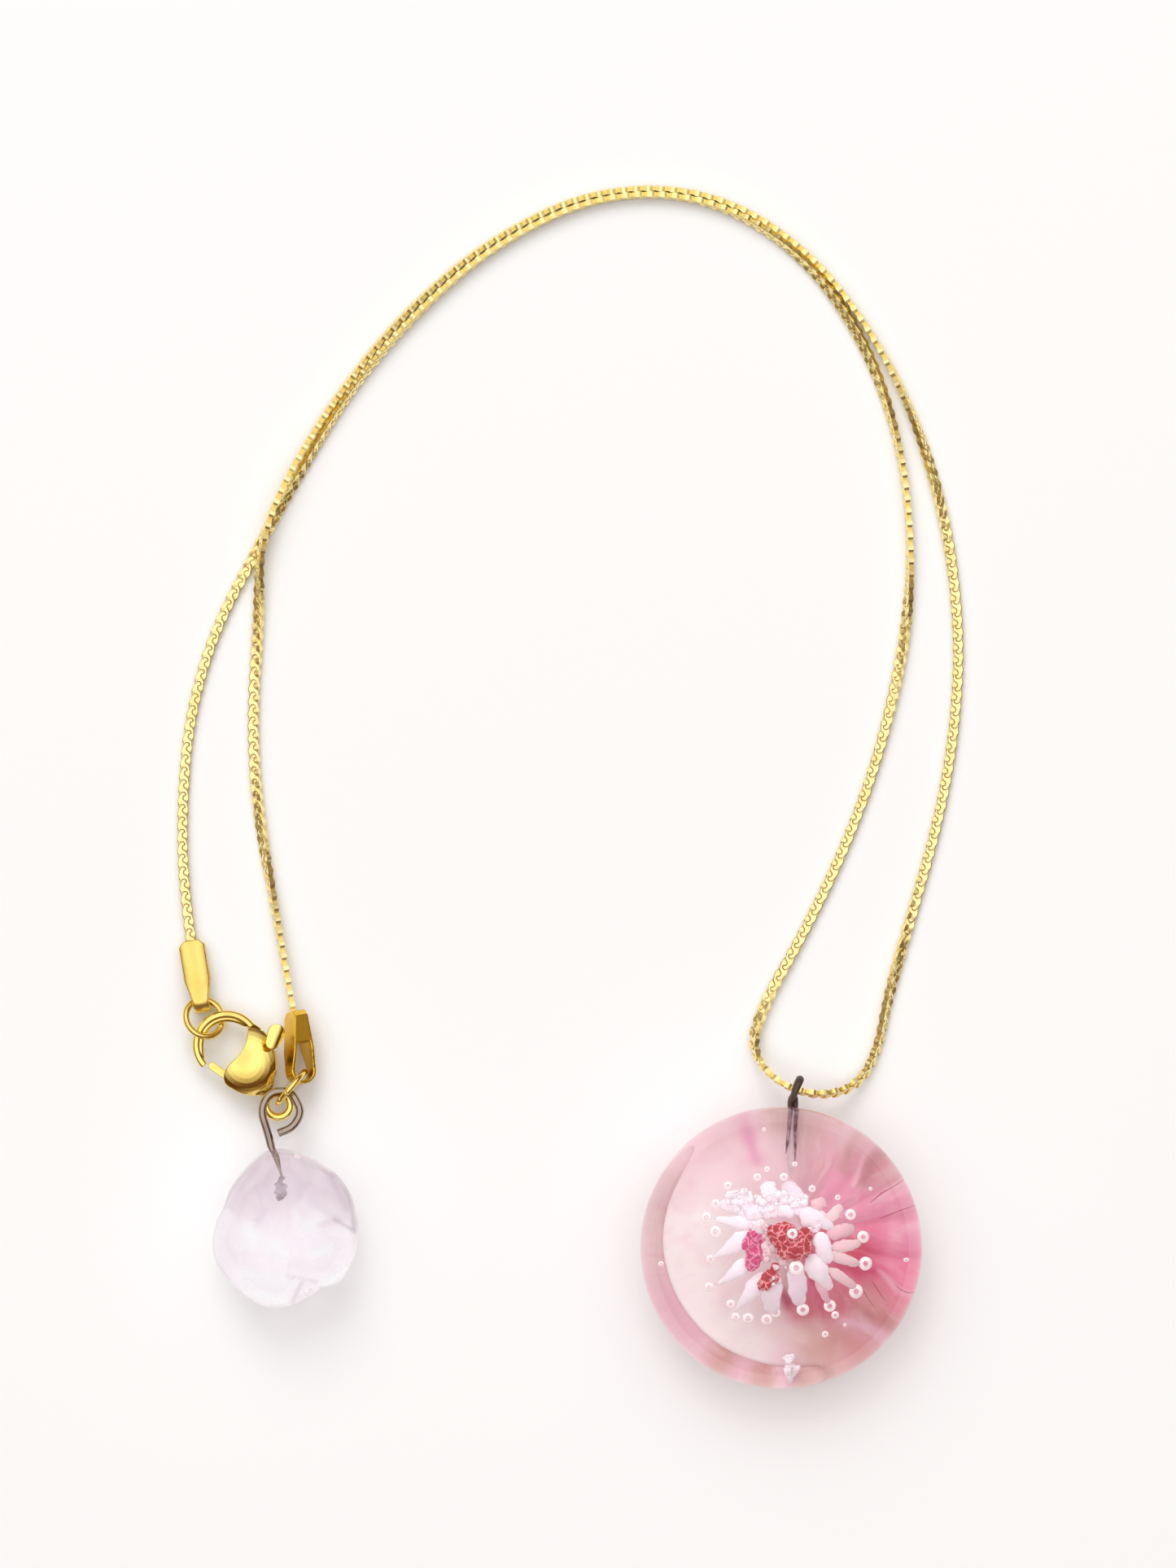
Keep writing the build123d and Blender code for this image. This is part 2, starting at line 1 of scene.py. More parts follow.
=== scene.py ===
from math import atan2, cos, pi, radians, sin, sqrt, tau

import bmesh
import bpy
import numpy as np
from mathutils import Matrix, Vector, noise


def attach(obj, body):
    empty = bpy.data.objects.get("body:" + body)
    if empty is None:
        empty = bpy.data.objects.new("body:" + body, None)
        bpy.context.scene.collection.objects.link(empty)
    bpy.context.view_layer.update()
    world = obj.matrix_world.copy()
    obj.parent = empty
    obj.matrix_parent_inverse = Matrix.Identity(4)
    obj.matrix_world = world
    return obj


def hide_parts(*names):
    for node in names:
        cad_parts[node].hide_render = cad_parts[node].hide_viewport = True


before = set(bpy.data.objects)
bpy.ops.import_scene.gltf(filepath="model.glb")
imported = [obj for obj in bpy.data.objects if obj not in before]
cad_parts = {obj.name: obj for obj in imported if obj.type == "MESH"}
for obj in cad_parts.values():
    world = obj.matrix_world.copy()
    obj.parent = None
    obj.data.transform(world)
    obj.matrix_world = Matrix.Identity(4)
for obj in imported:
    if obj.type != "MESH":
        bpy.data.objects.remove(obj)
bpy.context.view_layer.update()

# Table and view: a white table, seen from straight above. One pixel of the photo is 0.0755 mm on
# the table, and the pendant's middle is at (958, 1529).
MM = 0.001
PHOTO_WIDTH, PHOTO_HEIGHT = 1445, 1927
PIXEL = 0.0755 * MM
PENDANT_PIXEL = (958, 1529)
CAMERA_HEIGHT = 0.7
SENSOR = 24.0
TABLE_SIDE = 3.0


def from_photo(x, y, z=0.0):
    """The place over the table of a pixel of the photo, at a height of z metres."""
    return Vector(((x - PENDANT_PIXEL[0]) * PIXEL, (PENDANT_PIXEL[1] - y) * PIXEL, z))


def plain_object(name, data):
    """A new object at the origin."""
    piece = bpy.data.objects.new(name, data)
    bpy.context.collection.objects.link(piece)
    return piece


def feed(tree, target, inputs):
    """Give a node its inputs: each is a plain value or another node's output."""
    for place, value in inputs.items():
        socket = target.inputs[place]
        if isinstance(value, bpy.types.NodeSocket):
            tree.links.new(value, socket)
        elif socket.type == "RGBA":
            socket.default_value = (*value, 1)
        else:
            socket.default_value = value


def new_material(name, inputs):
    """A new material, its tree and its shader, with plain values on the shader."""
    material = bpy.data.materials.new(name)
    material.use_nodes = True
    tree = material.node_tree
    shader = tree.nodes["Principled BSDF"]
    feed(tree, shader, inputs)
    return material, tree, shader


view = bpy.data.cameras.new("view")
view.sensor_fit = "VERTICAL"
view.sensor_height = SENSOR
view.lens = SENSOR * CAMERA_HEIGHT / (PHOTO_HEIGHT * PIXEL)
view.clip_start = 0.01
camera = plain_object("camera", view)
camera.location = from_photo(PHOTO_WIDTH / 2, PHOTO_HEIGHT / 2, CAMERA_HEIGHT)
bpy.context.scene.camera = camera
bpy.context.scene.view_settings.view_transform = "Standard"
table_mesh = bpy.data.meshes.new("table")
table_half = TABLE_SIDE / 2
table_corners = [(x * table_half, y * table_half, 0) for x, y in ((-1, -1), (1, -1), (1, 1), (-1, 1))]
table_mesh.from_pydata(table_corners, [], [(0, 1, 2, 3)])
table = plain_object("table", table_mesh)
table_looks = {"Base Color": (0.945, 0.946, 0.950), "Roughness": 0.7, "Specular IOR Level": 0.2}
table_mesh.materials.append(new_material("white_table", table_looks)[0])

# Room and light: white overhead, brown and dark towards the horizon. It leans a little, so that what
# faces the foot of the photo mirrors more of the dark. Polished metal mirrors a harder version of it,
# with a paler band low down, as a white table under a dark room gives.
SKY_LEAN = Vector((-0.10, 0.26, 0.96)).normalized()
SKY_STRENGTH = 1.3
SKY = [
    (0.0, (0.020, 0.007, 0.002)), (0.24, (0.060, 0.020, 0.005)), (0.44, (0.150, 0.065, 0.022)),
    (0.60, (0.550, 0.520, 0.500)), (0.72, (1.0, 0.997, 0.994)), (0.90, (0.96, 0.958, 0.955)),
    (1.0, (0.80, 0.798, 0.796)),
]
MIRRORED_SKY = [
    (0.0, (0.012, 0.004, 0.001)), (0.16, (0.060, 0.022, 0.006)), (0.27, (0.420, 0.300, 0.180)),
    (0.36, (0.050, 0.018, 0.004)), (0.50, (0.120, 0.050, 0.016)), (0.62, (0.460, 0.400, 0.340)),
    (0.76, (0.860, 0.840, 0.820)), (0.86, (1.08, 1.07, 1.06)), (0.95, (1.0, 0.99, 0.98)),
    (1.0, (0.84, 0.83, 0.82)),
]
LAMP_PLACE = Vector((-0.25, 0.95, 0.9))
LAMP_SIZE = 0.7
LAMP_WATTS = 6.0


def add_node(tree, kind, inputs=None, **settings):
    """A new node of a tree, with its own settings and its inputs."""
    made = tree.nodes.new(kind)
    for setting, value in settings.items():
        setattr(made, setting, value)
    feed(tree, made, inputs or {})
    return made


def colour_ramp(tree, value, stops, low=0.0, high=1.0, curve="LINEAR"):
    """A colour for a value between low and high, from stops that each have a place and a colour."""
    made = add_node(tree, "ShaderNodeValToRGB", {0: value})
    made.color_ramp.interpolation = curve
    while len(made.color_ramp.elements) < len(stops):
        made.color_ramp.elements.new(0.5)
    for element, (place, colour) in zip(made.color_ramp.elements, stops):
        element.position = (place - low) / (high - low)
        element.color = (*colour, 1)
    return made.outputs[0]


def blend(tree, share, under, over):
    """Two colours mixed by a share."""
    mix = add_node(tree, "ShaderNodeMix", {"Factor": share, "A": under, "B": over}, data_type="RGBA")
    return mix.outputs["Result"]


room = bpy.data.worlds.new("room")
room.use_nodes = True
bpy.context.scene.world = room
sky = room.node_tree
direction = add_node(sky, "ShaderNodeTexCoord").outputs["Generated"]
sky_up = add_node(sky, "ShaderNodeVectorMath", {0: direction, 1: SKY_LEAN}, operation="DOT_PRODUCT")
mirrored = add_node(sky, "ShaderNodeLightPath").outputs["Is Glossy Ray"]
sky_tones = [colour_ramp(sky, sky_up.outputs["Value"], stops) for stops in (SKY, MIRRORED_SKY)]
sky_colour = blend(sky, mirrored, *sky_tones)
feed(sky, sky.nodes["Background"], {"Color": sky_colour, "Strength": SKY_STRENGTH})
lamp = bpy.data.lights.new("window_light", "AREA")
lamp.size = LAMP_SIZE
lamp.energy = LAMP_WATTS
window_light = plain_object("window_light", lamp)
window_light.location = LAMP_PLACE
window_light.rotation_euler = (-LAMP_PLACE).to_track_quat("-Z", "Y").to_euler()
window_light.visible_glossy = False
window_light.visible_transmission = False

# Pendant glass: a dome of clear glass on a flat back, cast round the flower while it was soft and
# then ground flat behind. Its skin is a little uneven.
GLASS_RADIUS = 13.0 * MM
GLASS_HEIGHT = 12.5 * MM
BACK_RADIUS = 9.8 * MM
GIRDLE_HEIGHT = 5.2 * MM
SHOULDER_RADIUS = 4.5 * MM
GLASS_SIDES = 160
DOME_STEPS = 26
SHOULDER_STEPS = 12
FOOT_STEPS = 8
BACK_STEPS = 4
UNEVEN = 0.02 * MM
UNEVEN_SCALE = 320.0
RIPPLE_DEPTH = 0.1 * MM


def arc_points(centre, start, end, steps):
    """Points from start to end about a centre, without the last one."""
    first = atan2(start[1] - centre[1], start[0] - centre[0])
    last = atan2(end[1] - centre[1], end[0] - centre[0])
    radius = sqrt((start[0] - centre[0]) ** 2 + (start[1] - centre[1]) ** 2)
    turns = [first + (last - first) * step / steps for step in range(steps)]
    return [(centre[0] + radius * cos(turn), centre[1] + radius * sin(turn)) for turn in turns]


def turns_round(sides):
    """The directions of a number of sides, in radians."""
    return [tau * side / sides for side in range(sides)]


def closed_rings(shape, first, rows, last):
    """A smooth closed skin over a pole, rings of points and another pole."""
    made = []
    sides = len(rows[0])
    for side in range(sides):
        after = (side + 1) % sides
        made.append(shape.faces.new((first, rows[0][after], rows[0][side])))
        made.append(shape.faces.new((last, rows[-1][side], rows[-1][after])))
        for low, high in zip(rows, rows[1:]):
            made.append(shape.faces.new((low[side], low[after], high[after], high[side])))
    for face in made:
        face.smooth = True
    return made


def from_shape(name, shape):
    """The object that a finished shape makes."""
    mesh = bpy.data.meshes.new(name)
    shape.to_mesh(mesh)
    shape.free()
    return plain_object(name, mesh)


def object_noise(tree, scale, detail=2.0, distortion=0.0):
    """Noise in a piece's own coordinates."""
    place = add_node(tree, "ShaderNodeTexCoord").outputs["Object"]
    looks = {"Vector": place, "Scale": scale, "Detail": detail, "Distortion": distortion}
    return add_node(tree, "ShaderNodeTexNoise", looks).outputs


def bumped(tree, height, strength, depth):
    """The normal of a skin that rises with a value."""
    looks = {"Height": height, "Strength": strength, "Distance": depth}
    return add_node(tree, "ShaderNodeBump", looks).outputs["Normal"]


def show_mix(tree, share, under, over):
    """Two shaders mixed by a share, as the material's surface."""
    mix = add_node(tree, "ShaderNodeMixShader", {"Fac": share, 1: under, 2: over})
    feed(tree, tree.nodes["Material Output"], {"Surface": mix.outputs[0]})
    return mix.outputs[0]


def glass_material(name, colour, shadow_tint, ripple, ripple_scale):
    """Clear glass that lets light and shadow through, with a faint ripple on its skin."""
    glass = {"Base Color": colour, "Roughness": 0.0, "IOR": 1.5, "Transmission Weight": 1.0}
    material, tree, shader = new_material(name, glass)
    wave = object_noise(tree, ripple_scale)["Fac"]
    feed(tree, shader, {"Normal": bumped(tree, wave, ripple, RIPPLE_DEPTH)})
    see_through = add_node(tree, "ShaderNodeBsdfTransparent", {"Color": shadow_tint}).outputs[0]
    shadow = add_node(tree, "ShaderNodeLightPath").outputs["Is Shadow Ray"]
    surface = show_mix(tree, shadow, shader.outputs["BSDF"], see_through)
    return material, tree, shader, surface


undercut = GLASS_RADIUS - BACK_RADIUS
foot_radius = (undercut**2 + GIRDLE_HEIGHT**2) / (2 * undercut)
foot_centre = (GLASS_RADIUS - foot_radius, GIRDLE_HEIGHT)
shoulder_centre = (GLASS_RADIUS - SHOULDER_RADIUS, GIRDLE_HEIGHT)
crown = GLASS_HEIGHT - GIRDLE_HEIGHT
dome_radius = (shoulder_centre[0] ** 2 + crown**2 - SHOULDER_RADIUS**2) / (2 * (crown - SHOULDER_RADIUS))
dome_centre = Vector((0, GLASS_HEIGHT - dome_radius))
shoulder_end = dome_centre + (Vector(shoulder_centre) - dome_centre).normalized() * dome_radius
glass_section = [(BACK_RADIUS * step / BACK_STEPS, 0) for step in range(BACK_STEPS)]
glass_section += arc_points(foot_centre, (BACK_RADIUS, 0), (GLASS_RADIUS, GIRDLE_HEIGHT), FOOT_STEPS)
glass_section += arc_points(shoulder_centre, (GLASS_RADIUS, GIRDLE_HEIGHT), shoulder_end, SHOULDER_STEPS)
glass_section += arc_points(dome_centre, shoulder_end, (0, GLASS_HEIGHT), DOME_STEPS)
glass_shape = bmesh.new()
back_pole = glass_shape.verts.new((0, 0, 0))
top_pole = glass_shape.verts.new((0, 0, GLASS_HEIGHT))
glass_rows = [
    [glass_shape.verts.new((reach * cos(turn), reach * sin(turn), z)) for turn in turns_round(GLASS_SIDES)]
    for reach, z in glass_section[1:]
]
closed_rings(glass_shape, back_pole, glass_rows, top_pole)
bmesh.ops.recalc_face_normals(glass_shape, faces=glass_shape.faces)
pendant_dome = from_shape("pendant_dome", glass_shape)
for vertex in pendant_dome.data.vertices:
    if vertex.co.z > 0:
        swell = noise.noise(vertex.co * UNEVEN_SCALE)
        inward = (Vector((0, 0, GIRDLE_HEIGHT)) - vertex.co).normalized()
        vertex.co += inward * UNEVEN * (1 + swell)
clear_glass = glass_material("clear_glass", (1.0, 0.985, 0.99), (0.985, 0.97, 0.972), 0.04, 260.0)[0]
pendant_dome.data.materials.append(clear_glass)
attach(pendant_dome, "necklace")
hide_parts("pendant_glass")

# Air bubbles: small round hollows at the petals' tips and seeds elsewhere. Glass round such a
# hollow mirrors the light all round its rim, so each bubble's skin is painted with a white ring round a
# clear middle: a painted reflection that glows a little.
# Each row: its place in the photo, how high it lies in the glass and its radius as seen, in mm.
BUBBLES = [
    (864, 1490, 5.6, 0.52), (876, 1508, 5.2, 0.56), (870, 1542, 5.0, 0.40), (868, 1577, 4.8, 0.44),
    (895, 1598, 4.6, 0.42), (901, 1615, 4.6, 0.44), (917, 1616, 4.6, 0.52), (940, 1617, 4.6, 0.54),
    (951, 1608, 5.0, 0.46), (984, 1604, 5.2, 0.60), (1015, 1574, 5.2, 0.50), (1012, 1530, 6.6, 0.30),
    (1018, 1600, 4.8, 0.60), (1025, 1612, 4.8, 0.38), (1051, 1583, 4.6, 0.70), (1063, 1548, 4.6, 0.66),
    (1060, 1515, 4.6, 0.60), (1044, 1487, 4.8, 0.54), (1005, 1490, 5.8, 0.66), (1028, 1466, 4.4, 0.28),
    (996, 1455, 4.8, 0.34), (961, 1440, 5.4, 0.40), (940, 1430, 5.0, 0.28), (928, 1440, 5.4, 0.38),
    (891, 1450, 5.2, 0.40), (894, 1462, 5.6, 0.40), (876, 1473, 5.4, 0.44), (886, 1475, 5.8, 0.32),
    (932, 1495, 8.4, 0.32), (970, 1508, 9.4, 0.50), (975, 1550, 8.2, 0.68), (940, 1580, 6.6, 0.34),
    (918, 1478, 6.6, 0.32), (942, 1468, 6.8, 0.34), (958, 1474, 7.0, 0.30), (980, 1466, 6.6, 0.34),
    (905, 1470, 6.4, 0.30), (975, 1424, 4.2, 0.26), (1013, 1638, 3.2, 0.32), (1072, 1455, 3.0, 0.20),
    (936, 1376, 5.0, 0.20), (804, 1550, 3.6, 0.24), (1118, 1545, 3.6, 0.20), (1038, 1626, 3.6, 0.18),
]
BUBBLE_DETAIL = 3
SEED_BUBBLES = 46
SEED_MIDDLE = (944, 1473)
SEED_SPREAD = (46, 15)
SEED_HEIGHTS = (6.9, 8.0)
SEED_RADII = (0.07, 0.19)
SEED_DETAIL = 2
# The row of seeds and the heaps of crumbs climb a little to the right, by this share of a step
HEAP_SLOPE = 0.1
# The painted reflection on a bubble's skin: its tone and cover, from its middle to its rim
PAINTED_RIM_TONES = [
    (0.0, (0.80, 0.55, 0.60), 0.05), (0.04, (0.72, 0.45, 0.52), 0.30), (0.08, (0.66, 0.44, 0.50), 0.80),
    (0.13, (0.94, 0.87, 0.87), 0.95), (0.66, (0.96, 0.91, 0.91), 0.95), (0.84, (0.78, 0.58, 0.62), 0.8),
    (1.0, (0.70, 0.45, 0.52), 0.4),
]


def behind_dome(x, y, height):
    """Where a thing in the glass lies that shows at a pixel of the photo: the dome magnifies it."""
    depth = GLASS_HEIGHT - height
    shrink = 1 - depth / (3 * dome_radius)
    seen = from_photo(x, y)
    return Vector((seen.x * shrink, seen.y * shrink, height)), shrink


def add_ball(shape, centre, radius, detail, squash=1.0):
    """A smooth ball, made of triangles."""
    matrix = Matrix.Translation(centre) @ Matrix.Diagonal((1, 1, squash, 1))
    made = bmesh.ops.create_icosphere(shape, subdivisions=detail, radius=radius, matrix=matrix)
    for face in {face for vertex in made["verts"] for face in vertex.link_faces}:
        face.smooth = True
    return made["verts"]


def tint(tree, shader, colour):
    """One colour for a shader's body and its painted glow."""
    feed(tree, shader, {"Base Color": colour, "Emission Color": colour})


balls = bmesh.new()
for x, y, height, radius in BUBBLES:
    centre, shrink = behind_dome(x, y, height * MM)
    add_ball(balls, centre, radius * MM * shrink, BUBBLE_DETAIL)
chance = np.random.default_rng(7)
for number in range(SEED_BUBBLES):
    turn = chance.uniform(0, tau)
    share = sqrt(chance.uniform(0, 1))
    x = SEED_MIDDLE[0] + SEED_SPREAD[0] * share * cos(turn)
    y = SEED_MIDDLE[1] + SEED_SPREAD[1] * share * sin(turn) - HEAP_SLOPE * (x - SEED_MIDDLE[0])
    centre, shrink = behind_dome(x, y, chance.uniform(*SEED_HEIGHTS) * MM)
    add_ball(balls, centre, chance.uniform(*SEED_RADII) * MM, SEED_DETAIL)
air_bubbles = from_shape("air_bubbles", balls)
# The skin glows a little with its painted rim: painted light.
bubble_painted_rim, skin, skin_shader = new_material("bubble_painted_rim", {"Emission Strength": 0.25, "Roughness": 0.3})
rim_facing = add_node(skin, "ShaderNodeLayerWeight", {"Blend": 0.5}).outputs["Facing"]
painted_rim_tone = colour_ramp(skin, rim_facing, [(place, colour) for place, colour, cover in PAINTED_RIM_TONES])
rim_cover = colour_ramp(skin, rim_facing, [(place, (cover,) * 3) for place, colour, cover in PAINTED_RIM_TONES])
tint(skin, skin_shader, painted_rim_tone)
skin_clear = add_node(skin, "ShaderNodeBsdfTransparent").outputs[0]
show_mix(skin, rim_cover, skin_clear, skin_shader.outputs["BSDF"])
air_bubbles.data.materials.append(bubble_painted_rim)
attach(air_bubbles, "necklace")

# Pink fan: folded petals of pink glass laid round an eye that is off the pendant's middle, hot
# pink on the right and almost white on the left, with painted shade in the creases between the right-hand
# folds.
FAN_MIDDLE = Vector((1.6 * MM, 1.7 * MM))
FAN_LOW = 1.15 * MM
FAN_RIM_THICK = 0.55 * MM
FAN_EYE_THICK = 1.2 * MM
FAN_SEEN = 1.9 * MM
# How far the fan reaches from the pendant's axis: degrees round it and mm. It stops short of the
# glass on the left and below, where the rose veil shows outside it.
FAN_RIM = [
    (-180, 9.26), (-171, 9.10), (-143, 8.95), (-119, 9.05), (-104, 9.18), (-91, 9.34), (-84, 9.48),
    (-77, 9.62), (-70, 9.90), (-62, 10.90), (100, 10.90), (108, 10.40), (117, 9.95), (127, 9.68),
    (139, 9.52), (152, 9.42), (167, 9.34), (180, 9.26),
]
RIM_SHIFTS = (-0.1, -0.05, 0, 0.05, 0.1)
EDGE_TRIALS = 12
FAN_FOLDS = 17
FAN_SIDES = FAN_FOLDS * 16
FAN_RINGS = 26
# The folds are deep on the right and faint on the left, wander a little and run out at the rim
FOLD_HEIGHT = 0.30 * MM
FOLDED_SIDE = radians(-2)
FAINT_FOLD = 0.2
FOLD_DRIFT = 2.4
FOLD_DRIFT_SCALE = 150
# The painted shade in the creases: how sharply it narrows to each fold's valley and how fast it grows from
# the eye
CREASE_SHARP = 5
CREASE_GROWTH = 1.4
SIDE_WALL = 0.3
# Dark seams between some folds, thin tubes of painted shade in the creases: the pixels they pass and their
# radius in mm
SHADE_SEAMS = [
    ((1101, 1454), (1087, 1461), (1072, 1473), 0.050), ((1120, 1480), (1101, 1487), (1083, 1494), 0.045),
    ((1072, 1571), (1080, 1583), (1091, 1598), 0.035), ((1060, 1580), (1066, 1592), (1076, 1606), 0.030),
    ((1104, 1577), (1110, 1584), (1114, 1592), 0.030),
]
SEAM_ENDS = 0.4
SEAM_SIDES = 8
SEAM_SHADE = 2.5
# Brush strokes on the fan: the pixels they run between, half width in pixels, colour and strength
FAN_STROKES = [
    (917, 1385, 927, 1420, 12, (0.62, 0.25, 0.41), 0.75),
    (1060, 1560, 1118, 1540, 12, (0.66, 0.20, 0.33), 0.5),
    (1049, 1400, 1038, 1432, 8, (0.42, 0.24, 0.22), 0.65),
    (1078, 1418, 1062, 1448, 10, (0.40, 0.19, 0.20), 0.7),
    (1064, 1414, 1050, 1452, 3, (0.68, 0.44, 0.48), 0.8),
    (1040, 1395, 1075, 1408, 5, (0.66, 0.42, 0.46), 0.5),
    (1080, 1470, 1118, 1462, 5, (0.68, 0.36, 0.45), 0.5),
    (1030, 1553, 1088, 1562, 8, (0.52, 0.06, 0.14), 0.7),
    (1084, 1560, 1108, 1585, 4, (0.68, 0.42, 0.50), 0.7),
    (1074, 1596, 1104, 1612, 4, (0.60, 0.22, 0.32), 0.6),
    (1034, 1620, 1092, 1640, 6, (0.64, 0.40, 0.50), 0.75),
    (1050, 1604, 1096, 1628, 8, (0.44, 0.17, 0.18), 0.6),
    (1030, 1645, 1064, 1660, 10, (0.50, 0.24, 0.22), 0.6),
    (990, 1650, 1030, 1664, 16, (0.58, 0.32, 0.28), 0.6),
    (962, 1588, 968, 1600, 6, (0.36, 0.01, 0.08), 0.85),
    (980, 1612, 1040, 1604, 10, (0.55, 0.13, 0.18), 0.55),
    (935, 1625, 985, 1645, 10, (0.74, 0.58, 0.56), 0.6),
    (985, 1565, 1002, 1600, 7, (0.60, 0.12, 0.24), 0.5),
]
STROKE_RAGGED = 0.6
STROKE_RAGGED_SCALE = 700
# Streaks and clouds in the opal glass: how much its pattern wobbles, how slowly it changes outwards
# and how fine the clouds are
WOBBLE = 2.2 * MM
WOBBLE_SCALE = 260.0
STREAK_OUT = 0.35
CLOUD_SCALE = 380.0
FAN_STREAKS = 52.0
# Between these reaches in mm the eye's colours give way to the rim's
EYE_END, RIM_START = 5.0, 8.6
SHADOW_PASSED = 0.8
MILK = (0.76, 0.70, 0.70)
MILK_PINK = (0.72, 0.575, 0.61)
LILAC_PINK = (0.70, 0.51, 0.55)
DUSTY = (0.58, 0.40, 0.39)
ROSE = (0.58, 0.31, 0.35)
RIGHT_PINK = (0.66, 0.27, 0.39)
HOT = (0.68, 0.18, 0.28)
BROWN_ROSE = (0.50, 0.23, 0.23)
DEEP_ROSE = (0.56, 0.075, 0.14)
CLOUD_PINK = (0.68, 0.42, 0.48)
CREASE_SHADE_RED = (0.42, 0.06, 0.12)
# Colours round the fan's rim and round its eye, each at its degrees
RIM_COLOURS = [
    (-180, MILK), (-140, MILK), (-112, MILK), (-97, MILK_PINK), (-84, DUSTY), (-66, ROSE), (-48, BROWN_ROSE),
    (-30, HOT), (-10, RIGHT_PINK), (12, RIGHT_PINK), (28, DUSTY), (36, BROWN_ROSE), (46, ROSE),
    (62, LILAC_PINK), (85, DUSTY), (105, DUSTY), (118, LILAC_PINK), (132, LILAC_PINK),
    (152, MILK_PINK), (180, MILK),
]
EYE_COLOURS = [
    (-180, MILK), (-125, MILK_PINK), (-104, ROSE), (-92, DEEP_ROSE), (-72, DEEP_ROSE), (-50, HOT),
    (-24, DEEP_ROSE), (-6, HOT), (10, RIGHT_PINK), (45, RIGHT_PINK), (75, ROSE), (110, LILAC_PINK),
    (150, MILK_PINK), (180, MILK),
]


def glass_reach(height):
    """How far the glass reaches from its axis at a height below the girdle."""
    return foot_centre[0] + sqrt(foot_radius**2 - (GIRDLE_HEIGHT - height) ** 2)


def fan_rim(turn):
    """How far the fan reaches from the pendant's axis in a direction."""
    turns, reaches = zip(*FAN_RIM)
    near = [((turn + shift + pi) % tau - pi) * 180 / pi for shift in RIM_SHIFTS]
    return float(np.interp(near, turns, reaches).mean()) * MM


def fan_edge(turn):
    """How far the fan reaches from its own middle in a direction."""
    edge = 10 * MM
    for trial in range(EDGE_TRIALS):
        spot = FAN_MIDDLE + Vector((cos(turn), sin(turn))) * edge
        edge += fan_rim(atan2(spot.y, spot.x)) - spot.length
    return edge


def fan_surface(place):
    """The height of the fan's top at a place, and how high its fold stands there from 0 to 1."""
    out = place - FAN_MIDDLE
    turn = atan2(out.y, out.x)
    share = min(1.0, out.length / fan_edge(turn))
    drift = FOLD_DRIFT * noise.noise(Vector((place.x, place.y, 0)) * FOLD_DRIFT_SCALE)
    fold = 0.5 - 0.5 * cos(FAN_FOLDS * turn + drift)
    thick = FAN_EYE_THICK + (FAN_RIM_THICK - FAN_EYE_THICK) * share
    right_side = max(0.0, cos(turn - FOLDED_SIDE)) ** 0.6
    rise = FOLD_HEIGHT * fold * share * (1 - share**8) * (FAINT_FOLD + (1 - FAINT_FOLD) * right_side)
    return FAN_LOW + thick + rise, fold * right_side + (1 - right_side)


def tube(shape, points, sides):
    """A closed tube through points, each x, y, z and radius in metres."""
    rows = []
    places = [Vector(point[:3]) for point in points]
    for number, point in enumerate(points):
        before = places[max(0, number - 1)]
        after = places[min(len(places) - 1, number + 1)]
        along = (after - before).normalized()
        across = along.cross(Vector((0, 0, 1))).normalized()
        rise = across.cross(along)
        outs = [across * cos(turn) + rise * sin(turn) for turn in turns_round(sides)]
        rows.append([shape.verts.new(places[number] + out * point[3]) for out in outs])
    made = [shape.faces.new(list(reversed(rows[0]))), shape.faces.new(rows[-1])]
    for low, high in zip(rows, rows[1:]):
        for side in range(sides):
            after = (side + 1) % sides
            made.append(shape.faces.new((low[side], low[after], high[after], high[side])))
    for face in made:
        face.smooth = True
    return made


def bell(apart, width):
    """A share that falls from 1 like a bell with the distance from a middle."""
    return 2.718 ** (-((apart / width) ** 2))


def maths(tree, operation, *values, **settings):
    """The result of one sum."""
    inputs = dict(enumerate(values))
    return add_node(tree, "ShaderNodeMath", inputs, operation=operation, **settings).outputs[0]


def vector_maths(tree, operation, *values):
    """The result of one sum on vectors."""
    inputs = dict(enumerate(values))
    return add_node(tree, "ShaderNodeVectorMath", inputs, operation=operation).outputs[0]


def spread(tree, value, low, high, most):
    """A value between low and high spread over 0 to most."""
    span = {"Value": value, "From Min": low, "From Max": high, "To Max": most}
    return add_node(tree, "ShaderNodeMapRange", span).outputs[0]


def attribute(tree, name):
    """The outputs of a value that a mesh keeps for each of its points."""
    return add_node(tree, "ShaderNodeAttribute", attribute_name=name).outputs


def new_group(name, kind, inputs, outputs):
    """A new node group with its named sockets, its inputs' outputs and its end node."""
    group = bpy.data.node_groups.new(name, kind)
    for way, sockets in (("INPUT", inputs), ("OUTPUT", outputs)):
        for label, socket_kind in sockets.items():
            group.interface.new_socket(name=label, in_out=way, socket_type="NodeSocket" + socket_kind)
    return group, group.nodes.new("NodeGroupInput").outputs, group.nodes.new("NodeGroupOutput")


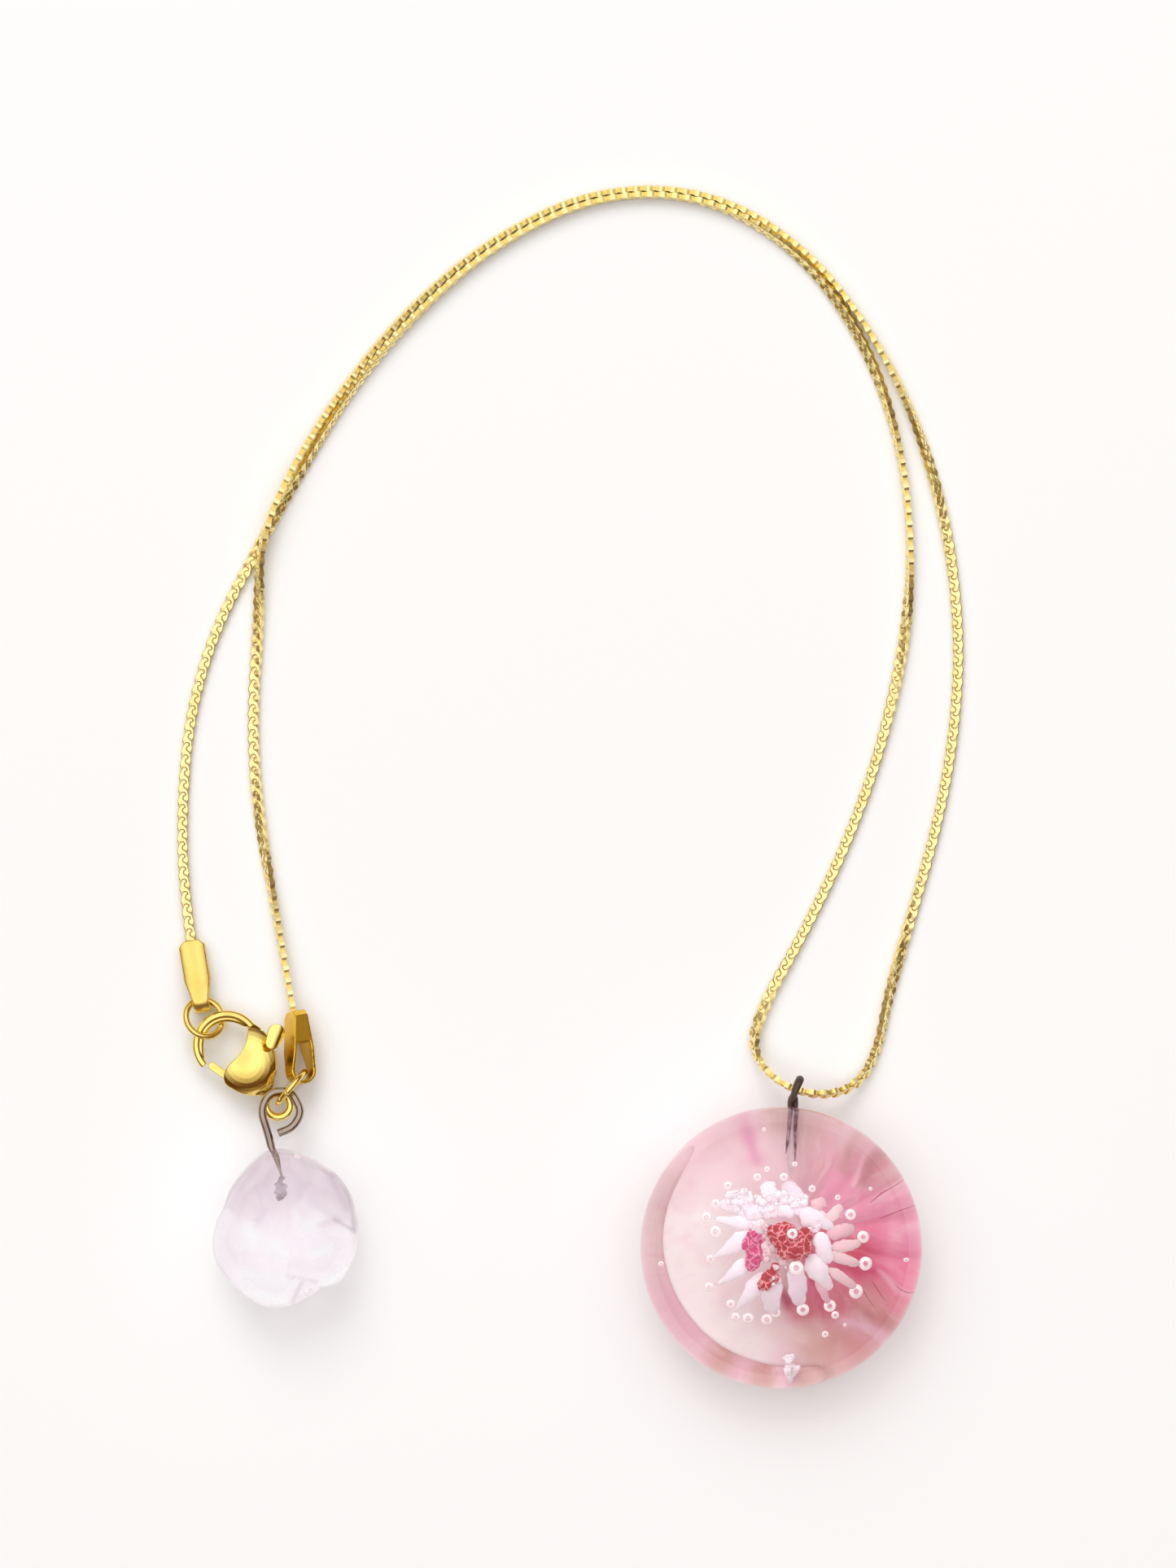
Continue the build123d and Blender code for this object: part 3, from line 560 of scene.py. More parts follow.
def round_glass_group():
    """Where a point lies round a middle: its share of a full turn, its reach in mm and streaks."""
    measures = {"Share": "Float", "Reach": "Float", "Streak": "Float", "Cloud": "Float"}
    wishes = {"Middle": "Vector", "Streaks": "Float"}
    group, entry, leave = new_group("round_glass", "ShaderNodeTree", wishes, measures)
    place = add_node(group, "ShaderNodeTexCoord").outputs["Object"]
    wobble = object_noise(group, WOBBLE_SCALE, 3.0)["Color"]
    wobble = vector_maths(group, "SUBTRACT", wobble, (0.5, 0.5, 0.5))
    wobble = vector_maths(group, "MULTIPLY", wobble, (WOBBLE, WOBBLE, WOBBLE))
    moved = vector_maths(group, "ADD", vector_maths(group, "SUBTRACT", place, entry["Middle"]), wobble)
    flat = vector_maths(group, "MULTIPLY", moved, (1 / MM, 1 / MM, 0))
    reach = add_node(group, "ShaderNodeVectorMath", {0: flat}, operation="LENGTH").outputs["Value"]
    parts = add_node(group, "ShaderNodeSeparateXYZ", {0: flat}).outputs
    share = spread(group, maths(group, "ARCTAN2", parts["Y"], parts["X"]), -pi, pi, 1.0)
    round_way = maths(group, "MULTIPLY", share, entry["Streaks"])
    out_way = maths(group, "MULTIPLY", reach, STREAK_OUT)
    rays = add_node(group, "ShaderNodeCombineXYZ", {"X": round_way, "Y": out_way}).outputs[0]
    looks = {"Vector": rays, "Scale": 1.0, "Detail": 4.0, "Distortion": 0.4}
    streak = add_node(group, "ShaderNodeTexNoise", looks).outputs["Fac"]
    cloud = object_noise(group, CLOUD_SCALE, 5.0, 0.8)["Fac"]
    feed(group, leave, {"Share": share, "Reach": reach, "Streak": streak, "Cloud": cloud})
    return group


def lit_glass(name, roughness, painted_glow):
    """A new material for opal glass: a little of the light comes through it from the table, painted as a
    glow in its own colour.
    """
    opal = {"Specular IOR Level": 0.15, "Subsurface Weight": 0.35, "Subsurface Radius": (1.0, 0.5, 0.6)}
    opal |= {"Subsurface Scale": 1.2 * MM, "Emission Strength": painted_glow, "Roughness": roughness}
    material, tree, shader = new_material(name, opal)
    passing = add_node(tree, "ShaderNodeBsdfTransparent", {"Color": (0.95, 0.93, 0.93)}).outputs[0]
    shadow = add_node(tree, "ShaderNodeLightPath").outputs["Is Shadow Ray"]
    passed = maths(tree, "MULTIPLY", shadow, SHADOW_PASSED)
    surface = show_mix(tree, passed, shader.outputs["BSDF"], passing)
    return material, tree, shader, surface


def paint(mesh, strokes):
    """Brush strokes on a mesh seen from above, kept as a colour and a cover for each of its points.

    Each stroke has its two ends and half width in metres, its colour and its strength."""
    mesh.attributes.new("paint", "FLOAT_COLOR", "POINT")
    mesh.attributes.new("cover", "FLOAT", "POINT")
    tones = mesh.attributes["paint"]
    covers = mesh.attributes["cover"]
    for number, vertex in enumerate(mesh.vertices):
        colour = Vector((0, 0, 0))
        share = 0.0
        ragged = 1 + STROKE_RAGGED * noise.noise(vertex.co * STROKE_RAGGED_SCALE)
        for start, end, half_width, tone, strength in strokes:
            line = end - start
            along = (vertex.co.xy - start).dot(line) / max(line.length_squared, 1e-12)
            apart = (vertex.co.xy - start - line * min(1.0, max(0.0, along))).length
            part = strength * bell(apart, half_width * ragged)
            colour = colour * (1 - part) + Vector(tone) * part
            share = share * (1 - part) + part
        tones.data[number].color = (*(colour / max(share, 1e-6)), 1)
        covers.data[number].value = share


def painted(tree, under):
    """A colour with the mesh's brush strokes laid over it."""
    return blend(tree, attribute(tree, "cover")["Fac"], under, attribute(tree, "paint")["Color"])


fan_shape = bmesh.new()
crease_shade_layer = fan_shape.verts.layers.float.new("crease_shade")
fan_top = []
fan_turns = turns_round(FAN_SIDES)
fan_edges = [fan_edge(turn) for turn in fan_turns]
for ring in range(1, FAN_RINGS + 1):
    row = []
    share = ring / FAN_RINGS
    for turn, edge in zip(fan_turns, fan_edges):
        place = FAN_MIDDLE + Vector((cos(turn), sin(turn))) * edge * share
        height, fold = fan_surface(place)
        vertex = fan_shape.verts.new((place.x, place.y, height))
        vertex[crease_shade_layer] = max(0.0, 1 - CREASE_SHARP * fold) * min(1.0, CREASE_GROWTH * share)
        row.append(vertex)
    fan_top.append(row)
fan_eye = fan_shape.verts.new((FAN_MIDDLE.x, FAN_MIDDLE.y, FAN_LOW + FAN_EYE_THICK))
fan_under = [fan_shape.verts.new((v.co.x, v.co.y, FAN_LOW)) for v in fan_top[-1]]
for side in range(FAN_SIDES):
    after = (side + 1) % FAN_SIDES
    fan_shape.faces.new((fan_eye, fan_top[0][side], fan_top[0][after]))
    for inner, outer in zip(fan_top, fan_top[1:]):
        fan_shape.faces.new((inner[side], outer[side], outer[after], inner[after]))
    fan_shape.faces.new((fan_top[-1][side], fan_under[side], fan_under[after], fan_top[-1][after]))
fan_shape.faces.new(list(reversed(fan_under)))
fan_shape.normal_update()
for face in fan_shape.faces:
    face.smooth = abs(face.normal.z) > SIDE_WALL
for *spots, radius in SHADE_SEAMS:
    line = []
    for number, (x, y) in enumerate(spots):
        place = behind_dome(x, y, FAN_SEEN)[0]
        height = fan_surface(place.xy)[0]
        line.append((place.x, place.y, height, radius * MM * (1.0 if number == 1 else SEAM_ENDS)))
    for face in tube(fan_shape, line, SEAM_SIDES):
        for vertex in face.verts:
            vertex[crease_shade_layer] = SEAM_SHADE
pink_fan = from_shape("pink_fan", fan_shape)
fan_strokes = []
for x, y, to_x, to_y, half_width, tone, strength in FAN_STROKES:
    start = behind_dome(x, y, FAN_SEEN)[0]
    end, shrink = behind_dome(to_x, to_y, FAN_SEEN)
    fan_strokes.append((start.xy, end.xy, half_width * PIXEL * shrink, tone, strength))
paint(pink_fan.data, fan_strokes)
round_glass = round_glass_group()
pink_glass, fan_tree, fan_shader = lit_glass("pink_glass", 0.45, 0.12)[:3]
fan_place = {"Middle": (FAN_MIDDLE.x, FAN_MIDDLE.y, 0), "Streaks": FAN_STREAKS}
fan_round = add_node(fan_tree, "ShaderNodeGroup", fan_place, node_tree=round_glass).outputs
fan_eye_tone = colour_ramp(fan_tree, fan_round["Share"], EYE_COLOURS, -180.0, 180.0, "EASE")
fan_rim_tone = colour_ramp(fan_tree, fan_round["Share"], RIM_COLOURS, -180.0, 180.0, "EASE")
fan_out = spread(fan_tree, fan_round["Reach"], EYE_END, RIM_START, 1.0)
fan_colour = blend(fan_tree, fan_out, fan_eye_tone, fan_rim_tone)
fan_pale = spread(fan_tree, fan_round["Streak"], 0.5, 0.8, 0.55)
fan_colour = blend(fan_tree, fan_pale, fan_colour, MILK_PINK)
fan_cloud = spread(fan_tree, fan_round["Cloud"], 0.5, 0.75, 0.35)
fan_colour = painted(fan_tree, blend(fan_tree, fan_cloud, fan_colour, CLOUD_PINK))
# Painted shade: the fan darkens towards a deep red in its creases, and most along the seams.
painted_crease_shade = spread(fan_tree, attribute(fan_tree, "crease_shade")["Fac"], 0.0, SEAM_SHADE, 0.8)
tint(fan_tree, fan_shader, blend(fan_tree, painted_crease_shade, fan_colour, CREASE_SHADE_RED))
pink_fan.data.materials.append(pink_glass)
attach(pink_fan, "necklace")
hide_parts("pink_petals")

# Rose veil: a layer of rose glass over the back of the pendant that rises like a bowl round the
# fan, which shows as the dusty pink band outside it, with rose and brown streaks at the bottom.
VEIL_LOW = 0.5 * MM
VEIL_FLOOR = 0.85 * MM
VEIL_TOP = 4.6 * MM
VEIL_CLEAR = 0.16 * MM
VEIL_LIP = 0.12 * MM
VEIL_SIDES = 144
VEIL_STEPS = 9
VEIL_SAG = 0.75
VEIL_STREAKS = 120.0
# The slope's foot: how far in from the fan's rim and from the lip, and how far over the fan's rim
FOOT_IN = 0.04 * MM
FOOT_FROM_LIP = 0.2 * MM
FOOT_OVER = 0.01 * MM
VEIL_LEFT = (0.62, 0.44, 0.46)
VEIL_PINK = (0.58, 0.35, 0.41)
VEIL_BROWN = (0.46, 0.26, 0.24)
# The upper colour is paler, to light the veil's steep slope near the fan's upper tip, which lies in shade:
# painted light.
VEIL_UPPER_LIT = (0.84, 0.62, 0.67)
VEIL_STREAK = (0.56, 0.28, 0.31)
VEIL_CLOUD = (0.70, 0.54, 0.55)
VEIL_COLOURS = [
    (-180, VEIL_LEFT), (-150, VEIL_PINK), (-132, VEIL_PINK), (-118, VEIL_BROWN), (-108, VEIL_PINK),
    (-98, VEIL_BROWN), (-88, VEIL_PINK), (-78, VEIL_BROWN), (-50, VEIL_LEFT), (-35, VEIL_BROWN),
    (-15, VEIL_PINK), (20, VEIL_LEFT), (50, VEIL_BROWN), (90, VEIL_LEFT), (110, VEIL_LEFT),
    (132, VEIL_UPPER_LIT), (160, VEIL_LEFT), (180, VEIL_LEFT),
]

veil_shape = bmesh.new()
veil_rows = []
for turn in turns_round(VEIL_SIDES):
    section = [(0.5 * glass_reach(VEIL_LOW), VEIL_LOW)]
    for step in range(VEIL_STEPS + 1):
        height = VEIL_LOW + (VEIL_TOP - VEIL_LOW) * step / VEIL_STEPS
        section.append((glass_reach(height) - VEIL_CLEAR, height))
    lip = section[-1][0] - VEIL_LIP
    foot = min(fan_rim(turn) - FOOT_IN, lip - FOOT_FROM_LIP)
    for step in range(1, VEIL_STEPS + 1):
        share = step / VEIL_STEPS
        reach = lip + (foot - lip) * share**VEIL_SAG
        height = VEIL_TOP + (FAN_LOW + FAN_RIM_THICK + FOOT_OVER - VEIL_TOP) * share
        section.append((min(reach, glass_reach(height) - VEIL_CLEAR - VEIL_LIP), height))
    section += [(foot, VEIL_FLOOR), (0.5 * foot, VEIL_FLOOR)]
    out = Vector((cos(turn), sin(turn)))
    veil_rows.append([veil_shape.verts.new((out.x * reach, out.y * reach, z)) for reach, z in section])
veil_under = veil_shape.verts.new((0, 0, VEIL_LOW))
veil_eye = veil_shape.verts.new((0, 0, VEIL_FLOOR))
for near, far in zip(veil_rows, veil_rows[1:] + veil_rows[:1]):
    veil_shape.faces.new((veil_under, far[0], near[0])).smooth = True
    veil_shape.faces.new((veil_eye, near[-1], far[-1])).smooth = True
    for low in range(len(near) - 1):
        face = veil_shape.faces.new((near[low], far[low], far[low + 1], near[low + 1]))
        face.smooth = low != len(near) - 3
bmesh.ops.recalc_face_normals(veil_shape, faces=veil_shape.faces)
rose_veil = from_shape("veil", veil_shape)
# The rose glass glows more than the rest: painted light on the veil's steep slopes, which lie in shade.
rose_glass, veil_tree, veil_shader = lit_glass("rose_glass", 0.5, 0.30)[:3]
veil_round = add_node(veil_tree, "ShaderNodeGroup", {"Streaks": VEIL_STREAKS}, node_tree=round_glass)
veil_colour = colour_ramp(veil_tree, veil_round.outputs["Share"], VEIL_COLOURS, -180.0, 180.0, "EASE")
veil_pale = spread(veil_tree, veil_round.outputs["Streak"], 0.5, 0.8, 0.45)
veil_colour = blend(veil_tree, veil_pale, veil_colour, VEIL_STREAK)
veil_cloud = spread(veil_tree, veil_round.outputs["Cloud"], 0.5, 0.75, 0.4)
tint(veil_tree, veil_shader, blend(veil_tree, veil_cloud, veil_colour, VEIL_CLOUD))
rose_veil.data.materials.append(rose_glass)
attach(rose_veil, "necklace")
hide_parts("rose_veil")

# White petals: flattened fingers of milky glass, pulled out while hot and drawn down to a bubble at
# the tip. Those on the right are pale pink tubes. Each row: the pixels where its root and tip show,
# how high they lie in mm, its half width in pixels, how blunt its tip is and how pink it is.
PETALS = [
    (938, 1500, 873, 1491, 7.2, 6.0, 9.5, 0.45, 0.06), (926, 1508, 871, 1541, 7.0, 5.6, 13.0, 0.14, 0.05),
    (924, 1540, 877, 1575, 6.9, 5.4, 10.5, 0.20, 0.05), (938, 1556, 900, 1609, 6.9, 5.2, 12.0, 0.22, 0.04),
    (948, 1556, 944, 1611, 7.0, 5.2, 14.0, 0.80, 0.08), (974, 1546, 981, 1600, 7.4, 5.5, 12.5, 0.90, 0.14),
    (990, 1534, 1019, 1579, 7.5, 5.9, 14.5, 0.4, 0.05), (1002, 1506, 1016, 1546, 7.9, 7.2, 11.0, 0.90, 0.06),
    (978, 1482, 1023, 1503, 7.5, 6.6, 13.5, 0.45, 0.05), (960, 1446, 986, 1475, 6.0, 7.2, 12.0, 0.85, 0.30),
    (936, 1445, 951, 1473, 6.0, 7.2, 10.5, 0.80, 0.12), (900, 1460, 924, 1484, 6.2, 7.2, 10.0, 0.85, 0.06),
    (880, 1470, 916, 1486, 5.8, 7.0, 7.0, 0.90, 0.08), (912, 1484, 936, 1487, 7.1, 7.4, 9.0, 0.90, 0.08),
    (932, 1480, 954, 1486, 7.1, 7.5, 9.0, 0.90, 0.12), (950, 1478, 974, 1485, 7.1, 7.5, 9.5, 0.90, 0.10),
    (968, 1474, 990, 1484, 7.0, 7.4, 9.0, 0.90, 0.06), (994, 1478, 1013, 1468, 6.6, 6.0, 8.5, 0.95, 0.62),
    (1012, 1496, 1033, 1474, 6.7, 5.8, 7.5, 0.90, 0.46), (1012, 1511, 1050, 1503, 6.7, 5.6, 9.5, 0.95, 0.66),
    (1018, 1527, 1058, 1522, 6.4, 5.3, 8.0, 0.95, 0.50), (1014, 1534, 1056, 1549, 6.4, 5.2, 7.5, 0.90, 0.48),
    (1014, 1552, 1052, 1578, 6.4, 5.0, 7.0, 0.90, 0.48), (1000, 1560, 1017, 1600, 6.4, 5.0, 6.5, 0.60, 0.60),
]
# A petal's width along it, from root to tip, before its tip's bluntness
PETAL_WIDTHS = [0.86, 0.95, 1.0, 1.0, 0.96, 0.90, 0.82, 0.72]
PETAL_STEPS = 16
PETAL_SIDES = 12
PETAL_FLAT = 0.45
PETAL_LIFT = 0.07
TAPER_FROM = 0.35
ROOT_ROUND = 5
TIP_ROUND = 7
PETAL_SWAY = 0.18
PETAL_RUFFLE = 0.22
PETAL_CLOUDS = 800.0
PINK_CLOUD = 0.25
PINK_LESS = 0.09
# Loose crumbs of white glass: the pixel of each heap's middle, its spread, how many, how pink and
# the height of its middle in mm
CRUMB_HEAPS = [
    (942, 1471, 46, 12, 60, 0.05, 7.3), (904, 1464, 16, 11, 20, 0.05, 7.3),
    (941, 1522, 8, 21, 44, 0.42, 7.3),
    (930, 1502, 12, 6, 16, 0.30, 7.3), (958, 1548, 10, 8, 14, 0.45, 7.3), (1000, 1500, 9, 9, 12, 0.12, 7.3),
    (948, 1566, 7, 11, 12, 0.40, 7.3), (968, 1672, 5, 4, 9, 0.05, 3.2), (972, 1686, 9, 5, 16, 0.05, 2.9),
]
CRUMB_SCATTER = 0.6
CRUMB_RADII = (0.12, 0.38)
CRUMB_SQUASH = 0.7
CRUMB_DENT = 0.6
CRUMB_DENT_SCALE = 4500
PETAL_COLOURS = [
    (0.0, (0.90, 0.86, 0.90)), (0.10, (0.86, 0.76, 0.83)), (0.26, (0.80, 0.66, 0.75)),
    (0.50, (0.78, 0.56, 0.59)), (0.80, (0.72, 0.42, 0.49)), (1.0, (0.68, 0.34, 0.43)),
]


def petal(shape, root, tip, half_width, blunt, number):
    """One petal: a flattened, ruffled finger with closed round ends."""
    along = tip - root
    length = along.length
    along.normalize()
    across = Vector((0, 0, 1)).cross(along).normalized()
    rise = along.cross(across)
    start = shape.verts.new(root)
    rows = []
    for step in range(1, PETAL_STEPS):
        share = step / PETAL_STEPS
        spot = share * (len(PETAL_WIDTHS) - 1)
        near = min(int(spot), len(PETAL_WIDTHS) - 2)
        width = PETAL_WIDTHS[near] + (PETAL_WIDTHS[near + 1] - PETAL_WIDTHS[near]) * (spot - near)
        width *= 1 - (1 - blunt) * max(0.0, share - TAPER_FROM) / (1 - TAPER_FROM)
        width *= min(1.0, sqrt(share * ROOT_ROUND)) * min(1.0, sqrt((1 - share) * TIP_ROUND))
        edge = half_width * width
        middle = root + along * length * share + rise * PETAL_LIFT * length * sin(pi * share)
        middle += across * edge * PETAL_SWAY * noise.noise(Vector((share * 5, number * 3.1, 0)))
        row = []
        for turn in turns_round(PETAL_SIDES):
            wave = noise.noise(Vector((share * 8, number * 3.7, cos(turn) * 1.5)))
            ruffle = 1 + PETAL_RUFFLE * wave
            out = across * edge * ruffle * cos(turn) + rise * edge * PETAL_FLAT * sin(turn)
            row.append(shape.verts.new(middle + out))
        rows.append(row)
    return closed_rings(shape, start, rows, shape.verts.new(tip))


spray = bmesh.new()
pinkness = spray.verts.layers.float.new("pinkness")
for number, row in enumerate(PETALS):
    root_x, root_y, tip_x, tip_y, root_height, tip_height, half_width, blunt, pink = row
    root = behind_dome(root_x, root_y, root_height * MM)[0]
    tip, shrink = behind_dome(tip_x, tip_y, tip_height * MM)
    for face in petal(spray, root, tip, half_width * PIXEL * shrink, blunt, number):
        for vertex in face.verts:
            vertex[pinkness] = pink
for x, y, spread_x, spread_y, count, pink, level in CRUMB_HEAPS:
    for number in range(count):
        turn = chance.uniform(0, tau)
        share = sqrt(chance.uniform(0, 1))
        spot_x = x + spread_x * share * cos(turn)
        spot_y = y + spread_y * share * sin(turn) - HEAP_SLOPE * spread_x * share * cos(turn)
        spot_height = level + chance.uniform(-CRUMB_SCATTER, CRUMB_SCATTER)
        centre = behind_dome(spot_x, spot_y, spot_height * MM)[0]
        for vertex in add_ball(spray, centre, chance.uniform(*CRUMB_RADII) * MM, SEED_DETAIL, CRUMB_SQUASH):
            vertex.co += (vertex.co - centre) * CRUMB_DENT * noise.noise(vertex.co * CRUMB_DENT_SCALE)
            vertex[pinkness] = pink
bmesh.ops.recalc_face_normals(spray, faces=spray.faces)
white_spray = from_shape("white_spray", spray)
white_glass, petal_tree, petal_shader, petal_shown = lit_glass("white_glass", 0.35, 0.10)
petal_cloud = object_noise(petal_tree, PETAL_CLOUDS, 4.0)["Fac"]
petal_pink = attribute(petal_tree, "pinkness")["Fac"]
petal_pink = maths(petal_tree, "MULTIPLY_ADD", petal_cloud, PINK_CLOUD, petal_pink)
petal_pink = maths(petal_tree, "SUBTRACT", petal_pink, PINK_LESS)
tint(petal_tree, petal_shader, colour_ramp(petal_tree, petal_pink, PETAL_COLOURS, curve="EASE"))
petal_side = add_node(petal_tree, "ShaderNodeLayerWeight", {"Blend": 0.5}).outputs["Facing"]
petal_thin = spread(petal_tree, petal_side, 0.35, 1.0, 0.85)
petal_clear = add_node(petal_tree, "ShaderNodeBsdfTransparent").outputs[0]
show_mix(petal_tree, petal_thin, petal_shown, petal_clear)
white_spray.data.materials.append(white_glass)
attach(white_spray, "necklace")
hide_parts("white_petals")

# Core and buds: lumps of red and magenta glass melted on last, whose skin cracked into small
# crumbs as it cooled, with pale worms of glass left between the red ones.
LUMP_DETAIL = 5
LUMP_CRACKS = 1300.0
CRACK_DEPTH = 0.13 * MM
CRACK_EDGE = 2.4
CRACK_SINK = 0.7
CRACK_SWELL = 1.1
CRACK_STIR = 1.1 * MM


def crackled_lump(name, parts, height, squash):
    """A lump of joined round parts, each a pixel and a radius in pixels, with a cracked skin."""
    shape = bmesh.new()
    for x, y, radius in parts:
        centre, shrink = behind_dome(x, y, height)
        add_ball(shape, centre, radius * PIXEL * shrink, LUMP_DETAIL, squash)
    shape.normal_update()
    for vertex in shape.verts:
        cell = noise.voronoi(vertex.co * LUMP_CRACKS)[0]
        edge = min(1.0, (cell[1] - cell[0]) * CRACK_EDGE)
        swell = noise.noise(vertex.co * LUMP_CRACKS * 0.5)
        vertex.co += vertex.normal * CRACK_DEPTH * (edge - CRACK_SINK + CRACK_SWELL * swell)
    return from_shape(name, shape)


def crackle_material(name, deep, bright, pale, line, scale):
    """Cracked glass: deep and bright crumbs with pale worms between them, glowing a little: painted light.
    """
    skin = {"Emission Strength": 0.12, "Roughness": 0.2, "Specular IOR Level": 0.6}
    material, tree, shader = new_material(name, skin)
    place = add_node(tree, "ShaderNodeTexCoord").outputs["Object"]
    stir = object_noise(tree, scale * 0.8)["Color"]
    stirred = vector_maths(tree, "MULTIPLY_ADD", stir, (CRACK_STIR, CRACK_STIR, CRACK_STIR), place)
    looks = {"Vector": stirred, "Scale": scale}
    cells = add_node(tree, "ShaderNodeTexVoronoi", looks, feature="DISTANCE_TO_EDGE").outputs["Distance"]
    stops = [
        (0.0, pale), (line, pale), (line + 0.06, bright), (line + 0.18, deep), (0.40, deep), (0.46, bright),
        (1.0, bright),
    ]
    tint(tree, shader, colour_ramp(tree, cells, stops, curve="EASE"))
    feed(tree, shader, {"Normal": bumped(tree, cells, 0.5, 0.06 * MM)})
    return material


red_glass = crackle_material(
    "red_glass", (0.38, 0.0, 0.012), (0.55, 0.010, 0.035), (0.80, 0.37, 0.39), 0.012, 1250.0
)
magenta_glass = crackle_material(
    "magenta_glass", (0.58, 0.035, 0.17), (0.70, 0.09, 0.27), (0.80, 0.36, 0.50), 0.010, 1350.0
)
# Each lump: its names, its glass, how high it lies in mm, how flat it is and its parts
LUMPS = [
    ("red_core", "flower_core", "red_glass", red_glass, 8.3, 0.75,
     [(961, 1512, 18), (976, 1523, 19), (951, 1508, 11), (984, 1512, 11), (962, 1530, 11)]),
    ("magenta_crumb", "magenta_bud", "magenta_glass", magenta_glass, 7.4, 0.6,
     [(925, 1514, 12), (919, 1522, 11), (926, 1534, 12), (922, 1544, 11)]),
    ("red_crumb", "red_bud", "red_glass", red_glass, 7.4, 0.7,
     [(949, 1551, 7), (944, 1562, 11), (937, 1571, 9)]),
]
for name, node, slot_name, material, height, squash, parts in LUMPS:
    lump = crackled_lump(name, parts, height * MM, squash)
    lump.data.materials.append(material)
    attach(lump, "necklace")
    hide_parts(node)

# Bail: dull dark wire bent into a loop, whose two legs were pushed side by side into the hot
# glass. It is drawn wire, so its skin has fine lines along it and small dents.
DOUBLES = 0.0005 * MM
# The legs cross at the glass, so there they look narrower: between two heights on the photo, in mm
LEG_SQUEEZE = [(13.0, 0.64), (15.4, 1.0)]
LEG_LINE = 1.2 * MM
# Inside the glass they are drawn out thin, and show as two purple streaks in a grey film: the
# pixels that each passes, how high it lies there in mm and its radius in mm
LEG_ENTRY = 12.75 * MM
LEGS = [
    [(971, 1355, 3.0, 0.22), (970, 1364, 3.0, 0.20), (968, 1380, 3.3, 0.15), (966, 1396, 3.8, 0.13),
     (964, 1410, 4.2, 0.03)],
    [(977, 1355, 3.0, 0.22), (977, 1366, 3.0, 0.17), (976, 1385, 3.3, 0.12), (976, 1403, 3.8, 0.11),
     (975, 1420, 4.3, 0.03)],
]
LEG_FILM = [(974, 1358, 2.7, 0.42), (973, 1390, 3.0, 0.46), (971, 1420, 3.6, 0.36), (970, 1442, 4.2, 0.12)]
LEG_SIDES = 14
SUNK_TONES = [(0.3, (0.10, 0.03, 0.05)), (0.7, (0.42, 0.26, 0.33))]


def soft_copy(name, node, finish, grain, rounds, add_more=None):
    """A copy of a piece of the frame with its edges softened, as casting and polishing leave it."""
    shape = bmesh.new()
    shape.from_mesh(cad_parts[node].data)
    bmesh.ops.remove_doubles(shape, verts=shape.verts, dist=DOUBLES)
    if add_more:
        add_more(shape)
    piece = from_shape(name, shape)
    rough = piece.data
    rough.materials.clear()
    remesh = piece.modifiers.new("grain", "REMESH")
    remesh.mode = "VOXEL"
    remesh.voxel_size = grain
    remesh.use_smooth_shade = True
    soften = piece.modifiers.new("soften", "SMOOTH")
    soften.factor = 0.5
    soften.iterations = rounds
    ready = piece.evaluated_get(bpy.context.evaluated_depsgraph_get())
    finished = bpy.data.meshes.new_from_object(ready)
    piece.modifiers.clear()
    piece.data = finished
    finished.name = name
    bpy.data.meshes.remove(rough)
    for polygon in finished.polygons:
        polygon.use_smooth = True
    finished.materials.append(finish)
    return piece


def metal_group():
    """Polished metal: tone, roughness and a fine skin, from sizes in metres."""
    wishes = {"Bright": "Color", "Deep": "Color"}
    for label in ("Depth", "Rough", "Rough Spread", "Stain Scale", "Skin Scale", "Skin Depth"):
        wishes[label] = "Float"
    results = {"Color": "Color", "Roughness": "Float", "Normal": "Vector"}
    group, entry, leave = new_group("polished_skin", "ShaderNodeTree", wishes, results)
    stain = object_noise(group, entry["Stain Scale"], 3.0)["Fac"]
    # The tone deepens with stains, and with painted shade from the mesh where a piece gives it.
    stain_and_shade = maths(group, "MAXIMUM", spread(group, stain, 0.45, 0.8, 0.45), entry["Depth"])
    tone = blend(group, stain_and_shade, entry["Bright"], entry["Deep"])
    rough = maths(group, "MULTIPLY_ADD", stain, entry["Rough Spread"], entry["Rough"])
    skin = object_noise(group, entry["Skin Scale"], 3.0)["Fac"]
    normal = bumped(group, skin, 1.0, entry["Skin Depth"])
    feed(group, leave, {"Color": tone, "Roughness": rough, "Normal": normal})
    return group


def metal(name, bright, deep, rough, rough_spread, stain_scale, skin_scale, skin_depth, shade_name=None):
    """A metal finish built on the polished skin; a value of the mesh can deepen its tone as painted shade.
    """
    material, tree, shader = new_material(name, {"Metallic": 1.0})
    looks = {"Bright": bright, "Deep": deep, "Rough": rough, "Rough Spread": rough_spread}
    looks |= {"Stain Scale": stain_scale, "Skin Scale": skin_scale, "Skin Depth": skin_depth}
    if shade_name:
        looks["Depth"] = attribute(tree, shade_name)["Fac"]
    skin = add_node(tree, "ShaderNodeGroup", looks, node_tree=polished_skin).outputs
    feed(tree, shader, {"Base Color": skin["Color"]})
    feed(tree, shader, {"Roughness": skin["Roughness"], "Normal": skin["Normal"]})
    return material


